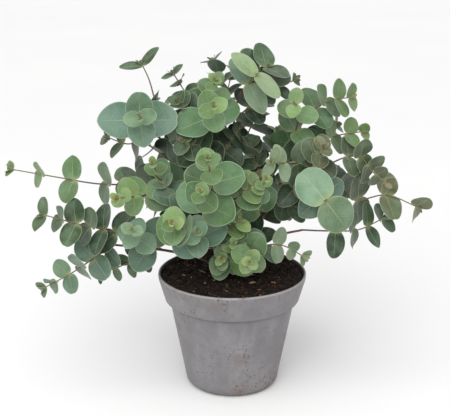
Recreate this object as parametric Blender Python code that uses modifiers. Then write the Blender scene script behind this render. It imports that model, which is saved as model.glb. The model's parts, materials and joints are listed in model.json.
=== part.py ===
"""A young eucalyptus in its nursery pot: a turned plastic pot, compost, woody stems and leafy shoots.

Metres, +Z up. The origin is the middle of the pot's underside, and -Y is the plant's front.
Each stem stands in its own hole in the compost. Each shoot is one grown piece, a twig with its
opposite leaves, and starts a hair's breadth off the stem that carries it.
"""

import math
import random

import bmesh
import bpy
from mathutils import Matrix, Vector
from mathutils.bvhtree import BVHTree

# ---------------------------------------------------------------- sizes

CLEARANCE = 0.0003  # between two pieces that touch

POT_HEIGHT = 0.135
RIM_RADIUS = 0.085
COLLAR_HEIGHT = 0.031
COLLAR_TAPER = 0.0075  # radius lost down the collar
COLLAR_STEP = 0.0055  # ledge under the collar
WALL_TAPER = 0.0176  # radius lost from the ledge to the base
POT_WALL = 0.0016
LIP_WIDTH = 0.0028
LIP_SET_BACK = 0.0004  # the collar's face lies this far inside the lip
LEDGE_ROUND = 0.0008  # the collar's lower edge is rounded off by this much
BASE_ROUND = 0.010
FOOT_HEIGHT = 0.003  # the floor is raised this far between the foot ring and the pad
FOOT_RING_WIDTH = 0.006
PAD_RADIUS = 0.013
DRAIN_HOLES = 6
DRAIN_RADIUS = 0.0035
POT_SIDES = 36

COMPOST_RECESS = 0.006  # from the rim down to the compost at the wall
COMPOST_MOUND = 0.008  # the compost rises this far to its middle
COMPOST_RINGS = 5
DRILL_SIDES = 8  # of the hole each stem stands in

STEM_DEPTH = 0.032  # each stem's foot below the compost
CROWN_HEIGHT = 0.002  # each stem leaves its hole and starts to bend this far above the compost
STEM_RADIUS = 0.0018
STEM_END_RADIUS = 0.0012
TWIG_RADIUS = 0.0010
TWIG_TIP_RADIUS = 0.0006
STEM_STEPS = 3  # straight pieces between two points of a stem's way
TWIG_STEPS = 2

LEAF_SIZE = 1.0  # scales every leaf
LEAF_THICKNESS = 0.0015
LEAF_SIDES = 8
LEAF_CUP = 0.06  # rise of the blade's edges, as a share of its width
LEAF_HEEL = 0.25  # how far a blade reaches past its twig's middle, as a share of the twig's radius
LIGHT_TURN = 0.90  # how far a blade turns on its midrib from square to its twig towards the light
LEAF_STAGGER = 0.0004  # a pair's second leaf sits this much further along the twig
LEAF_GAP = 0.0006  # between a leaf and any other piece
LEAF_EGG = 0.14  # how much broader a blade is towards its base, as a share of its width
LEAF_CREST = 0.36  # where a blade is thickest, as a share of its length
ROSETTE_CROWD = 1.2  # a shoot that crowds its pairs this much is a rosette
SPRAY_SQUEEZE = 0.62  # how far the pairs of other shoots still stand off the upright plane of their twig
LAST_PAIR = 0.985  # where a shoot's last pair sits, as a share of its twig
OLD_LIFT = 86  # degrees between a full-grown blade and its twig
YOUNG_LIFT = 40  # the same for a blade that has only just opened
SPRAY_FALL = 1.6  # how late along a spray its blades start to get smaller
ROSETTE_FALL = 0.8  # the same for a rosette
SPRAY_FADE = 0.12  # how much less the last blades of a spray turn to the light
ROSETTE_FADE = 1.0  # the same for a rosette, whose last blades don't turn
NEAR = 1.3  # a blade meets nothing further from its base than this many of its lengths
SWAY = 8  # degrees by which a blade's lift varies

# Stems: where each stands, then its way up and out. Heights are above the rim.
STEMS = {
    "left_low": ((-0.020, -0.004), (-0.038, -0.006, 0.018), (-0.070, -0.006, 0.026),
                 (-0.105, -0.015, 0.034), (-0.130, -0.025, 0.040)),
    "left": ((-0.016, 0.006), (-0.026, 0.004, 0.040), (-0.048, 0.005, 0.078),
             (-0.072, 0.000, 0.096), (-0.105, -0.008, 0.105)),
    "upper_left": ((-0.010, 0.015), (-0.028, 0.014, 0.050), (-0.055, 0.004, 0.115),
                   (-0.073, -0.006, 0.160), (-0.080, -0.008, 0.182)),
    "centre": ((-0.004, 0.004), (-0.012, 0.010, 0.065), (-0.020, 0.010, 0.125),
               (-0.025, 0.005, 0.165), (-0.026, 0.000, 0.188)),
    "front_left": ((-0.012, -0.012), (-0.026, -0.030, 0.048), (-0.044, -0.066, 0.076)),
    "front": ((-0.002, -0.008), (-0.010, -0.028, 0.060), (-0.018, -0.055, 0.105)),
    "top": ((0.004, 0.014), (0.006, 0.028, 0.060), (0.006, 0.030, 0.125),
            (0.002, 0.020, 0.180), (0.015, 0.010, 0.213)),
    "upper_right": ((0.012, 0.008), (0.022, 0.018, 0.060), (0.044, 0.020, 0.105),
                    (0.065, 0.015, 0.140), (0.076, 0.010, 0.168)),
    "right": ((0.016, -0.002), (0.028, 0.002, 0.052), (0.055, 0.000, 0.090),
              (0.085, -0.010, 0.115), (0.110, -0.015, 0.125)),
    "right_low": ((0.020, -0.011), (0.032, -0.012, 0.034), (0.055, -0.013, 0.048),
                  (0.078, -0.014, 0.054)),
    "front_low": ((0.007, -0.017), (0.012, -0.028, 0.026), (0.020, -0.046, 0.040)),
    "back": ((-0.002, 0.025), (-0.006, 0.042, 0.055), (-0.012, 0.065, 0.110),
             (-0.010, 0.085, 0.160)),
}

# Shoots: (name, stem, share of the stem's length where it starts, way to its tip,
#          pairs of leaves, leaf length, last pair's share of that length, leaf width / length,
#          share of the twig where the pairs start, crowding towards the tip,
#          turn of the first pair in degrees, colour)
SHOOTS = (
    ("rosette_front_high", "front", 1.00,
     ((-0.022, -0.072, 0.126), (-0.024, -0.096, 0.146), (-0.025, -0.124, 0.166)),
     4, 0.037, 0.18, 0.98, 0.25, 1.5, 20, "light"),
    ("rosette_front", "front", 0.80,
     ((-0.032, -0.076, 0.107), (-0.033, -0.098, 0.119), (-0.033, -0.122, 0.130)),
     4, 0.038, 0.18, 0.98, 0.28, 1.4, 60, "light"),
    ("rosette_front_left", "front_left", 1.00,
     ((-0.058, -0.084, 0.076), (-0.060, -0.098, 0.085), (-0.062, -0.114, 0.094)),
     4, 0.036, 0.18, 0.98, 0.20, 1.3, 10, "young"),
    ("rosette_front_low", "front_left", 0.70,
     ((-0.036, -0.066, 0.062), (-0.037, -0.086, 0.072), (-0.037, -0.104, 0.082)),
     4, 0.033, 0.24, 0.98, 0.25, 1.3, 50, "blue"),
    ("rosette_high_left", "upper_left", 0.90,
     ((-0.101, -0.028, 0.182), (-0.097, -0.054, 0.189), (-0.095, -0.080, 0.197)),
     4, 0.048, 0.14, 0.91, 0.42, 1.4, 8, "blue"),
    ("high_left", "upper_left", 1.00,
     ((-0.086, -0.004, 0.205), (-0.091, 0.000, 0.222), (-0.098, 0.000, 0.238)),
     2, 0.034, 0.80, 0.55, 0.25, 1.1, -145, "dark"),
    ("side_left", "upper_left", 0.68,
     ((-0.095, -0.002, 0.150), (-0.118, 0.000, 0.150), (-0.137, 0.000, 0.157)),
     5, 0.034, 0.50, 1.00, 0.15, 1.1, 45, "dark"),
    ("light_left", "upper_left", 0.52,
     ((-0.079, -0.030, 0.117), (-0.082, -0.048, 0.132), (-0.084, -0.064, 0.144)),
     4, 0.034, 0.28, 0.95, 0.20, 1.2, 0, "light"),
    ("bud_centre", "centre", 1.00,
     ((-0.023, 0.006, 0.197), (-0.020, -0.008, 0.213), (-0.019, -0.026, 0.226)),
     4, 0.031, 0.28, 0.97, 0.10, 1.3, 45, "light"),
    ("cluster_centre", "centre", 0.86,
     ((-0.027, -0.022, 0.186), (-0.022, -0.046, 0.196), (-0.020, -0.068, 0.206)),
     4, 0.039, 0.20, 0.98, 0.35, 1.4, 25, "light"),
    ("small_leaved", "centre", 0.76,
     ((-0.038, 0.022, 0.175), (-0.052, 0.032, 0.200), (-0.066, 0.036, 0.222)),
     6, 0.026, 0.55, 0.95, 0.20, 1.1, 45, "dark"),
    ("dark_centre", "centre", 0.58,
     ((-0.032, -0.004, 0.136), (-0.042, -0.018, 0.150), (-0.052, -0.032, 0.160)),
     5, 0.036, 0.50, 0.93, 0.20, 1.1, 75, "dark"),
    ("rosette_left", "left", 0.85,
     ((-0.098, -0.035, 0.100), (-0.110, -0.060, 0.106), (-0.121, -0.085, 0.112)),
     4, 0.033, 0.28, 1.00, 0.30, 1.3, 35, "young"),
    ("heart_left", "left_low", 0.55,
     ((-0.102, -0.040, 0.051), (-0.105, -0.060, 0.063), (-0.106, -0.078, 0.075)),
     4, 0.035, 0.40, 0.97, 0.25, 1.2, 65, "blue"),
    ("left_long", "left", 1.00,
     ((-0.150, -0.014, 0.108), (-0.195, -0.015, 0.116), (-0.242, -0.020, 0.126)),
     4, 0.031, 0.36, 0.93, 0.24, 1.1, 45, "light"),
    ("left_mid", "left_low", 0.88,
     ((-0.130, -0.030, 0.056), (-0.172, -0.042, 0.071), (-0.204, -0.050, 0.083)),
     6, 0.033, 0.60, 0.90, 0.22, 0.9, 45, "dark"),
    ("left_low", "left_low", 1.00,
     ((-0.150, -0.036, 0.031), (-0.176, -0.048, 0.016), (-0.206, -0.058, 0.002)),
     6, 0.032, 0.40, 0.90, 0.12, 1.1, 40, "blue"),
    ("left_under", "left_low", 0.66,
     ((-0.112, -0.020, 0.020), (-0.130, -0.022, 0.012), (-0.147, -0.022, 0.006)),
     4, 0.023, 0.60, 0.65, 0.15, 1.0, 70, "dark"),
    ("dark_left", "left", 0.62,
     ((-0.080, 0.028, 0.092), (-0.102, 0.044, 0.098), (-0.128, 0.054, 0.094)),
     6, 0.035, 0.55, 0.98, 0.15, 1.1, 45, "dark"),
    ("top_cluster", "top", 1.00,
     ((0.019, 0.010, 0.215), (0.028, 0.008, 0.224), (0.037, 0.008, 0.234)),
     3, 0.041, 0.80, 0.97, 0.04, 1.1, 45, "dark"),
    ("top_left", "top", 0.92,
     ((0.008, 0.008, 0.204), (0.017, -0.006, 0.218), (0.025, -0.020, 0.230)),
     2, 0.038, 0.95, 0.62, 0.60, 1.2, 30, "pale"),
    ("top_bud", "top", 0.80,
     ((0.033, 0.020, 0.200), (0.050, 0.016, 0.210), (0.068, 0.012, 0.219)),
     4, 0.028, 0.36, 0.80, 0.25, 1.1, 45, "dark"),
    ("dark_top", "top", 0.55,
     ((0.016, 0.044, 0.146), (0.024, 0.050, 0.164), (0.032, 0.056, 0.184)),
     5, 0.034, 0.55, 0.98, 0.20, 1.1, 45, "dark"),
    ("high_right", "upper_right", 1.00,
     ((0.086, 0.004, 0.185), (0.105, 0.000, 0.198), (0.128, -0.005, 0.203)),
     4, 0.029, 0.62, 1.00, 0.38, 1.0, 45, "light"),
    ("round_right", "upper_right", 0.86,
     ((0.072, -0.008, 0.179), (0.069, -0.024, 0.193), (0.066, -0.036, 0.202)),
     3, 0.030, 0.62, 0.90, 0.30, 1.2, 80, "light"),
    ("mid_right", "upper_right", 0.70,
     ((0.096, 0.008, 0.150), (0.119, 0.000, 0.160), (0.143, -0.005, 0.165)),
     6, 0.032, 0.42, 0.95, 0.12, 1.1, 45, "light"),
    ("inner_right", "upper_right", 0.46,
     ((0.075, -0.006, 0.126), (0.061, -0.030, 0.135), (0.042, -0.056, 0.143)),
     5, 0.031, 0.60, 0.60, 0.22, 1.1, 45, "pale"),
    ("ring_rosette", "right", 0.36,
     ((0.025, -0.040, 0.104), (0.031, -0.064, 0.119), (0.034, -0.090, 0.135)),
     4, 0.029, 0.22, 1.00, 0.25, 1.3, 30, "light"),
    ("big_leaved", "right", 0.66,
     ((0.093, -0.040, 0.101), (0.095, -0.062, 0.104), (0.096, -0.088, 0.110)),
     2, 0.032, 1.22, 0.95, 0.55, 1.2, 45, "blue"),
    ("arc_right", "right", 0.86,
     ((0.123, -0.018, 0.139), (0.140, -0.024, 0.140), (0.151, -0.028, 0.127),
      (0.167, -0.032, 0.113)),
     5, 0.026, 0.50, 0.97, 0.45, 1.0, 45, "olive"),
    ("right_long", "right", 1.00,
     ((0.133, -0.014, 0.090), (0.171, -0.014, 0.095), (0.205, -0.020, 0.083)),
     4, 0.034, 0.80, 0.95, 0.16, 0.9, 45, "olive"),
    ("right_arc", "right_low", 1.00,
     ((0.110, -0.014, 0.053), (0.141, -0.016, 0.055), (0.167, -0.022, 0.070)),
     4, 0.031, 0.85, 0.75, 0.40, 1.0, 45, "dark"),
    ("inner_green", "right", 0.74,
     ((0.100, 0.018, 0.100), (0.124, 0.034, 0.092), (0.146, 0.046, 0.080)),
     5, 0.037, 0.50, 1.00, 0.20, 1.1, 45, "dark"),
    ("sprout_front", "front_low", 1.00,
     ((0.016, -0.060, 0.039), (0.018, -0.072, 0.040), (0.018, -0.084, 0.041)),
     4, 0.031, 0.40, 0.98, 0.15, 1.2, 50, "young"),
    ("sprout_left", "front_low", 0.62,
     ((0.004, -0.042, 0.038), (0.002, -0.056, 0.047), (0.001, -0.068, 0.056)),
     4, 0.027, 0.32, 0.95, 0.20, 1.2, 0, "light"),
    ("sprout_right", "front_low", 0.42,
     ((0.035, -0.040, 0.044), (0.056, -0.048, 0.047), (0.077, -0.054, 0.037)),
     5, 0.027, 0.42, 0.74, 0.20, 1.0, 45, "pale"),
    ("sprout_crown", "front", 0.22,
     ((-0.010, -0.034, 0.028), (-0.012, -0.048, 0.034), (-0.012, -0.064, 0.038)),
     5, 0.027, 0.40, 0.90, 0.20, 1.1, 20, "light"),
    ("back_high", "back", 1.00,
     ((-0.008, 0.094, 0.178), (-0.004, 0.101, 0.196), (0.000, 0.107, 0.213)),
     5, 0.035, 0.35, 0.97, 0.10, 1.2, 35, "dark"),
    ("back_left", "back", 0.78,
     ((-0.045, 0.085, 0.140), (-0.080, 0.098, 0.155), (-0.110, 0.108, 0.165)),
     6, 0.036, 0.40, 0.95, 0.20, 1.1, 45, "light"),
    ("back_right", "back", 0.58,
     ((0.022, 0.080, 0.112), (0.060, 0.098, 0.126), (0.096, 0.112, 0.132)),
     6, 0.036, 0.40, 0.95, 0.20, 1.1, 45, "light"),
    ("back_low", "back", 0.34,
     ((-0.008, 0.075, 0.058), (-0.012, 0.108, 0.064), (-0.016, 0.142, 0.058)),
     5, 0.035, 0.40, 0.97, 0.25, 1.1, 45, "blue"),
    ("back_side_left", "left", 0.40,
     ((-0.066, 0.045, 0.072), (-0.096, 0.085, 0.070), (-0.122, 0.112, 0.062)),
     5, 0.036, 0.40, 0.97, 0.30, 1.1, 45, "blue"),
    ("back_side_right", "upper_right", 0.32,
     ((0.056, 0.050, 0.078), (0.088, 0.085, 0.080), (0.114, 0.108, 0.072)),
     5, 0.036, 0.40, 0.97, 0.30, 1.1, 45, "blue"),
)

COLOURS = {  # leaf colours: base colour of each shoot
    "young": (0.32, 0.44, 0.16),
    "light": (0.22, 0.38, 0.20),
    "pale": (0.38, 0.50, 0.36),
    "blue": (0.22, 0.36, 0.30),
    "dark": (0.06, 0.13, 0.07),
    "olive": (0.24, 0.30, 0.16),
}

CHIP_ROUNDING = 0.4  # from 0, a block, to 1, an egg

# Loose bits on the compost: name, place, size along x, y and z, turn in degrees, colour
LITTER = (
    ("bark_chip_tan", (0.022, -0.040), (0.0085, 0.0050, 0.0016), 25, (0.42, 0.27, 0.14)),
    ("bark_chip_orange", (0.046, -0.036), (0.0075, 0.0045, 0.0014), -35, (0.36, 0.15, 0.05)),
    ("fallen_twig", (-0.034, -0.008), (0.0120, 0.0014, 0.0014), -50, (0.34, 0.24, 0.14)),
)


# ---------------------------------------------------------------- scene helpers

def clear_scene():
    for thing in list(bpy.data.objects):
        bpy.data.objects.remove(thing, do_unlink=True)


def helper_collection(name):
    """A collection that renders nothing, for the shapes that Booleans use."""
    made = bpy.data.collections.new(name)
    made.hide_render = True
    bpy.context.scene.collection.children.link(made)
    return made


def material(name, colour, roughness):
    made = bpy.data.materials.new(name)
    made.use_nodes = True
    shader = made.node_tree.nodes["Principled BSDF"]
    shader.inputs["Base Color"].default_value = (*colour, 1.0)
    shader.inputs["Roughness"].default_value = roughness
    shader.inputs["Metallic"].default_value = 0.0
    return made


def finished(mesh, name, colour, roughness):
    """The mesh as a visible node with its own material."""
    mesh.shade_smooth()
    mesh.materials.append(material(name, colour, roughness))
    made = bpy.data.objects.new(name, mesh)
    bpy.context.scene.collection.objects.link(made)
    return made


def hidden(mesh, name, collection):
    made = bpy.data.objects.new(name, mesh)
    made.hide_render = True
    made.display_type = "WIRE"
    collection.objects.link(made)
    return made


def boolean(thing, operation, collection):
    made = thing.modifiers.new(operation.lower(), "BOOLEAN")
    made.operation = operation
    made.solver = "EXACT"
    made.operand_type = "COLLECTION"
    made.collection = collection


def mesh_from(work, name):
    mesh = bpy.data.meshes.new(name)
    work.to_mesh(mesh)
    work.free()
    return mesh


def turned(name, profile, colour, roughness):
    """A solid of revolution about Z, from an outline whose outer side runs from top to bottom."""
    work = bmesh.new()
    corners = [work.verts.new((radius, 0, height)) for radius, height in profile]
    for first, second in zip(corners, corners[1:]):
        work.edges.new((first, second))
    made = finished(mesh_from(work, name), name, colour, roughness)
    screw = made.modifiers.new("turn", "SCREW")
    screw.steps = screw.render_steps = POT_SIDES
    screw.use_merge_vertices = True
    screw.merge_threshold = 1e-5
    return made


# ---------------------------------------------------------------- pot and compost

def ledge_height():
    return POT_HEIGHT - COLLAR_HEIGHT


def base_radius():
    return RIM_RADIUS - COLLAR_TAPER - COLLAR_STEP - WALL_TAPER


def floor_height():
    return FOOT_HEIGHT + POT_WALL


def rounded_corner(radius, size, steps=4):
    """Points of the rounding from the wall to the underside, outer end first."""
    turns = [math.pi / 2 * step / steps for step in range(steps + 1)]
    return [(radius - size + size * math.cos(turn), size - size * math.sin(turn)) for turn in turns]


def inner_side(gap):
    """The pot's inside from floor to rim, as (radius, height), moved this gap into the pot."""
    collar_foot = RIM_RADIUS - COLLAR_TAPER
    ledge_inner = collar_foot - COLLAR_STEP - POT_WALL - gap
    corner = base_radius() - POT_WALL - gap
    return [
        (corner - 0.5 * BASE_ROUND, floor_height() + gap),
        (corner, floor_height() + 0.6 * BASE_ROUND),
        (ledge_inner, ledge_height() + POT_WALL + gap),
        (collar_foot - POT_WALL - gap, ledge_height() + POT_WALL + gap),
        (RIM_RADIUS - LIP_WIDTH - gap, POT_HEIGHT - LIP_WIDTH),
    ]


def pot_profile():
    collar_foot = RIM_RADIUS - COLLAR_TAPER
    ring_inner = base_radius() - BASE_ROUND - FOOT_RING_WIDTH
    lip = LIP_WIDTH / 2
    lip_top = [
        (RIM_RADIUS - lip - lip * math.cos(turn), POT_HEIGHT - lip + lip * math.sin(turn))
        for turn in (0.0, math.pi / 4, math.pi / 2, 3 * math.pi / 4, math.pi)
    ]
    return (
        [(0.0, floor_height())]
        + inner_side(0.0)[:-1]
        + lip_top
        + [(RIM_RADIUS - LIP_SET_BACK, POT_HEIGHT - 2 * LIP_WIDTH)]
        + [(collar_foot, ledge_height() + LEDGE_ROUND), (collar_foot - LEDGE_ROUND, ledge_height())]
        + [(collar_foot - COLLAR_STEP, ledge_height() - LEDGE_ROUND)]
        + rounded_corner(base_radius(), BASE_ROUND)
        + [(ring_inner, 0.0), (ring_inner - FOOT_HEIGHT / 2, FOOT_HEIGHT)]
        + [(PAD_RADIUS + FOOT_HEIGHT / 2, FOOT_HEIGHT), (PAD_RADIUS, 0.0), (0.0, 0.0)]
    )


def make_pot():
    pot = turned("pot", pot_profile(), (0.24, 0.23, 0.23), 0.55)
    drills = helper_collection("drain_drills")
    ring_inner = base_radius() - BASE_ROUND - FOOT_RING_WIDTH
    circle = (ring_inner + PAD_RADIUS) / 2
    for number in range(DRAIN_HOLES):
        turn = 2 * math.pi * (number + 0.5) / DRAIN_HOLES
        work = bmesh.new()
        bmesh.ops.create_cone(
            work, cap_ends=True, segments=10, radius1=DRAIN_RADIUS, radius2=DRAIN_RADIUS,
            depth=4 * floor_height(),
            matrix=Matrix.Translation((circle * math.cos(turn), circle * math.sin(turn), 0.0)),
        )
        hidden(mesh_from(work, "drain"), f"drain_{number}", drills)
    boolean(pot, "DIFFERENCE", drills)


def compost_top(x, y):
    """Height of the compost above the base at a place."""
    share = min(1.0, math.hypot(x, y) / (RIM_RADIUS - LIP_WIDTH))
    return POT_HEIGHT - COMPOST_RECESS + COMPOST_MOUND * (1 - share * share)


def make_compost(stems):
    side = inner_side(CLEARANCE)
    low, high = side[-2], side[-1]
    level = POT_HEIGHT - COMPOST_RECESS
    edge = low[0] + (high[0] - low[0]) * (level - low[1]) / (high[1] - low[1])
    rings = [edge * ring / COMPOST_RINGS for ring in range(COMPOST_RINGS)]
    top = [(radius, compost_top(radius, 0)) for radius in rings]
    profile = top + [(edge, compost_top(edge, 0))] + side[-2::-1] + [(0.0, side[0][1])]
    compost = turned("compost", profile, (0.03, 0.02, 0.015), 0.95)
    drills = helper_collection("stem_drills")
    for name, stem in stems.items():
        foot, crown = stem["line"][0], stem["line"][1]
        depth = crown.z - foot.z + 2 * CLEARANCE
        radius = (STEM_RADIUS + CLEARANCE) / math.cos(math.pi / DRILL_SIDES)
        work = bmesh.new()
        bmesh.ops.create_cone(
            work, cap_ends=True, segments=DRILL_SIDES, depth=2 * depth, radius1=radius, radius2=radius,
            matrix=Matrix.Translation(foot + Vector((0, 0, depth - CLEARANCE))),
        )
        hidden(mesh_from(work, "drill"), f"drill_{name}", drills)
    boolean(compost, "DIFFERENCE", drills)


def make_litter():
    for name, (x, y), size, turn, colour in LITTER:
        work = bmesh.new()
        bmesh.ops.create_cube(work, size=1.0)
        bmesh.ops.subdivide_edges(work, edges=work.edges[:], cuts=1, use_grid_fill=True)
        for corner in work.verts:
            reach = corner.co.length
            corner.co *= min(1.0, 0.5 / reach) ** CHIP_ROUNDING
        across = Vector((x, y, 0.0))
        slope = 2 * COMPOST_MOUND * across.length / (RIM_RADIUS - LIP_WIDTH) ** 2
        normal = (across.normalized() * slope + Vector((0, 0, 1))).normalized()
        tilt = Vector((0, 0, 1)).rotation_difference(normal).to_matrix().to_4x4()
        place = Vector((x, y, compost_top(x, y))) + normal * (size[2] / 2 + 2 * CLEARANCE)
        stretch = Matrix.Diagonal((*size, 1.0))
        turned_to = Matrix.Rotation(math.radians(turn), 4, "Z")
        bmesh.ops.transform(
            work, matrix=Matrix.Translation(place) @ tilt @ turned_to @ stretch, verts=work.verts
        )
        finished(mesh_from(work, name), name, colour, 0.9)


# ---------------------------------------------------------------- stems and twigs

def smooth_line(points, before, steps):
    """A smooth curve through the points; before is a point that sets how it leaves the first."""
    after = points[-1] + (points[-1] - points[-2])
    known = [before, *points, after]
    line = [points[0].copy()]
    for index in range(1, len(known) - 2):
        a, b, c, d = known[index - 1:index + 3]
        for step in range(1, steps + 1):
            t = step / steps
            line.append(
                0.5 * (2 * b + (c - a) * t + (2 * a - 5 * b + 4 * c - d) * t * t
                       + (3 * b - a - 3 * c + d) * t ** 3)
            )
    return line


def tapered(line, first, last):
    return [first + (last - first) * index / (len(line) - 1) for index in range(len(line))]


def at_share(line, radii, share):
    """The point, direction and radius this share of the way along a line."""
    lengths = [(b - a).length for a, b in zip(line, line[1:])]
    left = share * sum(lengths)
    for index, length in enumerate(lengths):
        if left <= length or index == len(lengths) - 1:
            break
        left -= length
    part = left / length
    along = (line[index + 1] - line[index]).normalized()
    radius = radii[index] + (radii[index + 1] - radii[index]) * part
    return line[index].lerp(line[index + 1], part), along, radius


def stem_line(foot, way, steps=STEM_STEPS):
    """The stem's foot, its crown just above the compost, and its way up and out."""
    top = compost_top(*foot)
    crown = Vector((*foot, top + CROWN_HEIGHT))
    points = [crown] + [Vector((x, y, POT_HEIGHT + z)) for x, y, z in way]
    below = crown - Vector((0, 0, STEM_DEPTH))
    return [Vector((*foot, top - STEM_DEPTH))] + smooth_line(points, below, steps)


def shoot_line(stem, share, way, steps=TWIG_STEPS):
    """The twig's curve, which starts its clearance off the stem's side or end."""
    centre, along, radius = at_share(stem["line"][1:], stem["radii"][1:], share)
    points = [Vector((x, y, POT_HEIGHT + z)) for x, y, z in way]
    out = (points[0] - centre).normalized()
    if share < 1:
        normal = (out - along * out.dot(along)).normalized()
    else:
        normal = along
        radius = 0.0
    away = radius + CLEARANCE + TWIG_RADIUS * out.cross(normal).length
    start = centre + normal * away
    return smooth_line([start, *points], start - (points[0] - start) / 2, steps)


def tube(name, line, radii, colour, rounding):
    """A bar along the line, as a closed mesh; rounding 0 gives four sides, and 1 gives six."""
    curve = bpy.data.curves.new(name, "CURVE")
    curve.dimensions = "3D"
    curve.bevel_depth = 0.001
    curve.bevel_resolution = rounding
    curve.use_fill_caps = True
    spline = curve.splines.new("POLY")
    spline.points.add(len(line) - 1)
    for point, place, radius in zip(spline.points, line, radii):
        point.co = (*place, 1.0)
        point.radius = radius / 0.001
    bar = bpy.data.objects.new(name, curve)
    bpy.context.scene.collection.objects.link(bar)
    graph = bpy.context.evaluated_depsgraph_get()
    mesh = bpy.data.meshes.new_from_object(bar.evaluated_get(graph))
    bpy.data.objects.remove(bar)
    work = bmesh.new()
    work.from_mesh(mesh)
    bmesh.ops.remove_doubles(work, verts=work.verts, dist=1e-6)
    bmesh.ops.recalc_face_normals(work, faces=work.faces)
    work.to_mesh(mesh)
    work.free()
    return finished(mesh, name, colour, 0.7)


# ---------------------------------------------------------------- leaves

def leaf_work(leaf, margin=0.0):
    """A leaf blade as a closed mesh: a flattened ball, drawn to an egg outline and cupped."""
    length = leaf["length"] + margin
    width = leaf["length"] * leaf["shape"] + 2 * margin
    thick = LEAF_THICKNESS * LEAF_SIZE + 2 * margin
    work = bmesh.new()
    bmesh.ops.create_uvsphere(work, u_segments=LEAF_SIDES, v_segments=2, radius=1.0)
    for corner in work.verts:
        x, y, z = corner.co
        share = (x + 1) / 2 if abs(z) < 0.5 else LEAF_CREST
        corner.co = (
            share * (length + leaf["heel"]) - leaf["heel"],
            y * width / 2 * (1 - LEAF_EGG * x),
            z * thick / 2 + LEAF_CUP * width * y * y - leaf["droop"] * length * share * share,
        )
    bmesh.ops.transform(work, matrix=leaf["frame"], verts=work.verts)
    return work


def leaf_frame(base, along, face):
    side = face.cross(along).normalized()
    turned_face = along.cross(side)
    frame = Matrix((along, side, turned_face)).transposed().to_4x4()
    frame.translation = base
    return frame


def tube_tree(line, radii, margin):
    """A search tree of a tube along the line, this margin thicker."""
    sides = 6
    work = bmesh.new()
    for (a, b), radius in zip(zip(line, line[1:]), radii):
        turn = Vector((0, 0, 1)).rotation_difference(b - a).to_matrix().to_4x4()
        reach = (radius + margin) / math.cos(math.pi / sides)
        bmesh.ops.create_cone(
            work, cap_ends=True, segments=sides, radius1=reach, radius2=reach,
            depth=(b - a).length + 2 * margin, matrix=Matrix.Translation((a + b) / 2) @ turn,
        )
    return tree_of(work)


def tree_of(work):
    corners = [corner.co.copy() for corner in work.verts]
    low = Vector([min(place[axis] for place in corners) for axis in range(3)])
    high = Vector([max(place[axis] for place in corners) for axis in range(3)])
    tree = BVHTree.FromBMesh(work)
    work.free()
    return low, high, tree


def meets(one, other):
    if any(one[0][axis] > other[1][axis] or other[0][axis] > one[1][axis] for axis in range(3)):
        return False
    return bool(one[2].overlap(other[2]))


def near(other, place, reach):
    """Whether a search tree's box comes this near to a place."""
    return all(other[0][axis] - reach < place[axis] < other[1][axis] + reach for axis in range(3))


def over_pot(low, high):
    """Whether a box comes down on the pot or into it."""
    nearest = math.hypot(max(low.x, -high.x, 0.0), max(low.y, -high.y, 0.0))
    return low.z < POT_HEIGHT + LEAF_GAP and nearest < RIM_RADIUS + LEAF_GAP


def grown_pair(shoot, share, place, turn, chance, others):
    """The two leaves of a pair, turned and lifted until they are clear of all other pieces."""
    base, along, radius = at_share(shoot["line"], shoot["radii"], place)
    side = along.cross(Vector((0, 0, 1)))
    side = side.normalized() if side.length > 0.2 else Vector((1, 0, 0))
    fall = ROSETTE_FALL if is_rosette(shoot) else SPRAY_FALL
    growth = 1.0 - (1.0 - shoot["last"]) * share ** fall
    lift = OLD_LIFT - (OLD_LIFT - YOUNG_LIFT) * (1.0 - growth) + chance.uniform(-SWAY, SWAY)
    size = shoot["leaf"] * LEAF_SIZE * growth * chance.uniform(0.90, 1.05)
    droop = chance.uniform(-0.04, 0.10)
    fade = ROSETTE_FADE if is_rosette(shoot) else SPRAY_FADE
    facing = LIGHT_TURN * chance.uniform(0.5, 1.0) * (1 - fade * share)
    others = [other for other in others if near(other, base, NEAR * size)]
    light = Vector((0.8 * base.x, 5.0 * base.y - 0.40, 0.32)).normalized()
    for shrink in (1.0, 0.88, 0.76, 0.64, 0.52):
        for more in (0, 15, -15, 30, -30, 45, -45, 60, -60, 75, 90):
            pair = []
            for half in (0, 180):
                out = Matrix.Rotation(math.radians(turn + more + half), 3, along) @ side
                for lower in (0, -12, 12, -24, -36, 24):
                    angle = math.radians(max(SWAY, lift + lower))
                    midrib = along * math.cos(angle) + out * math.sin(angle)
                    face = along * math.sin(angle) - out * math.cos(angle)
                    lit = light - midrib * light.dot(midrib)
                    face = face * (1 - facing) + lit.normalized() * facing
                    foot = base + along * (LEAF_STAGGER * half / 180)
                    leaf = {
                        "frame": leaf_frame(foot, midrib, face), "length": size * shrink,
                        "shape": shoot["shape"], "heel": LEAF_HEEL * radius, "droop": droop,
                        "share": share, "colour": shoot["colour"],
                    }
                    box = tree_of(leaf_work(leaf, LEAF_GAP))
                    if over_pot(box[0], box[1]) or any(meets(box, other) for other in others):
                        continue
                    pair.append((leaf, box))
                    break
                if len(pair) * 180 <= half:
                    break
            if len(pair) == 2:
                return pair
    return []


def is_rosette(shoot):
    """Whether a shoot crowds its pairs into a rosette at its tip; any other lays them out as a flat spray."""
    return shoot["crowd"] >= ROSETTE_CROWD


def pair_turn(shoot, number):
    """How far round the twig a pair stands, in degrees; 90 is the upright plane through the twig."""
    turn = (shoot["turn"] + 90 * number) % 180
    return turn if is_rosette(shoot) else 90 + (turn - 90) * SPRAY_SQUEEZE


def pair_place(shoot, share):
    """Where on the twig a pair sits; share runs from 0 for the first pair to 1 for the last."""
    return shoot["first"] + (LAST_PAIR - shoot["first"]) * (1 - (1 - share) ** shoot["crowd"])


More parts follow.
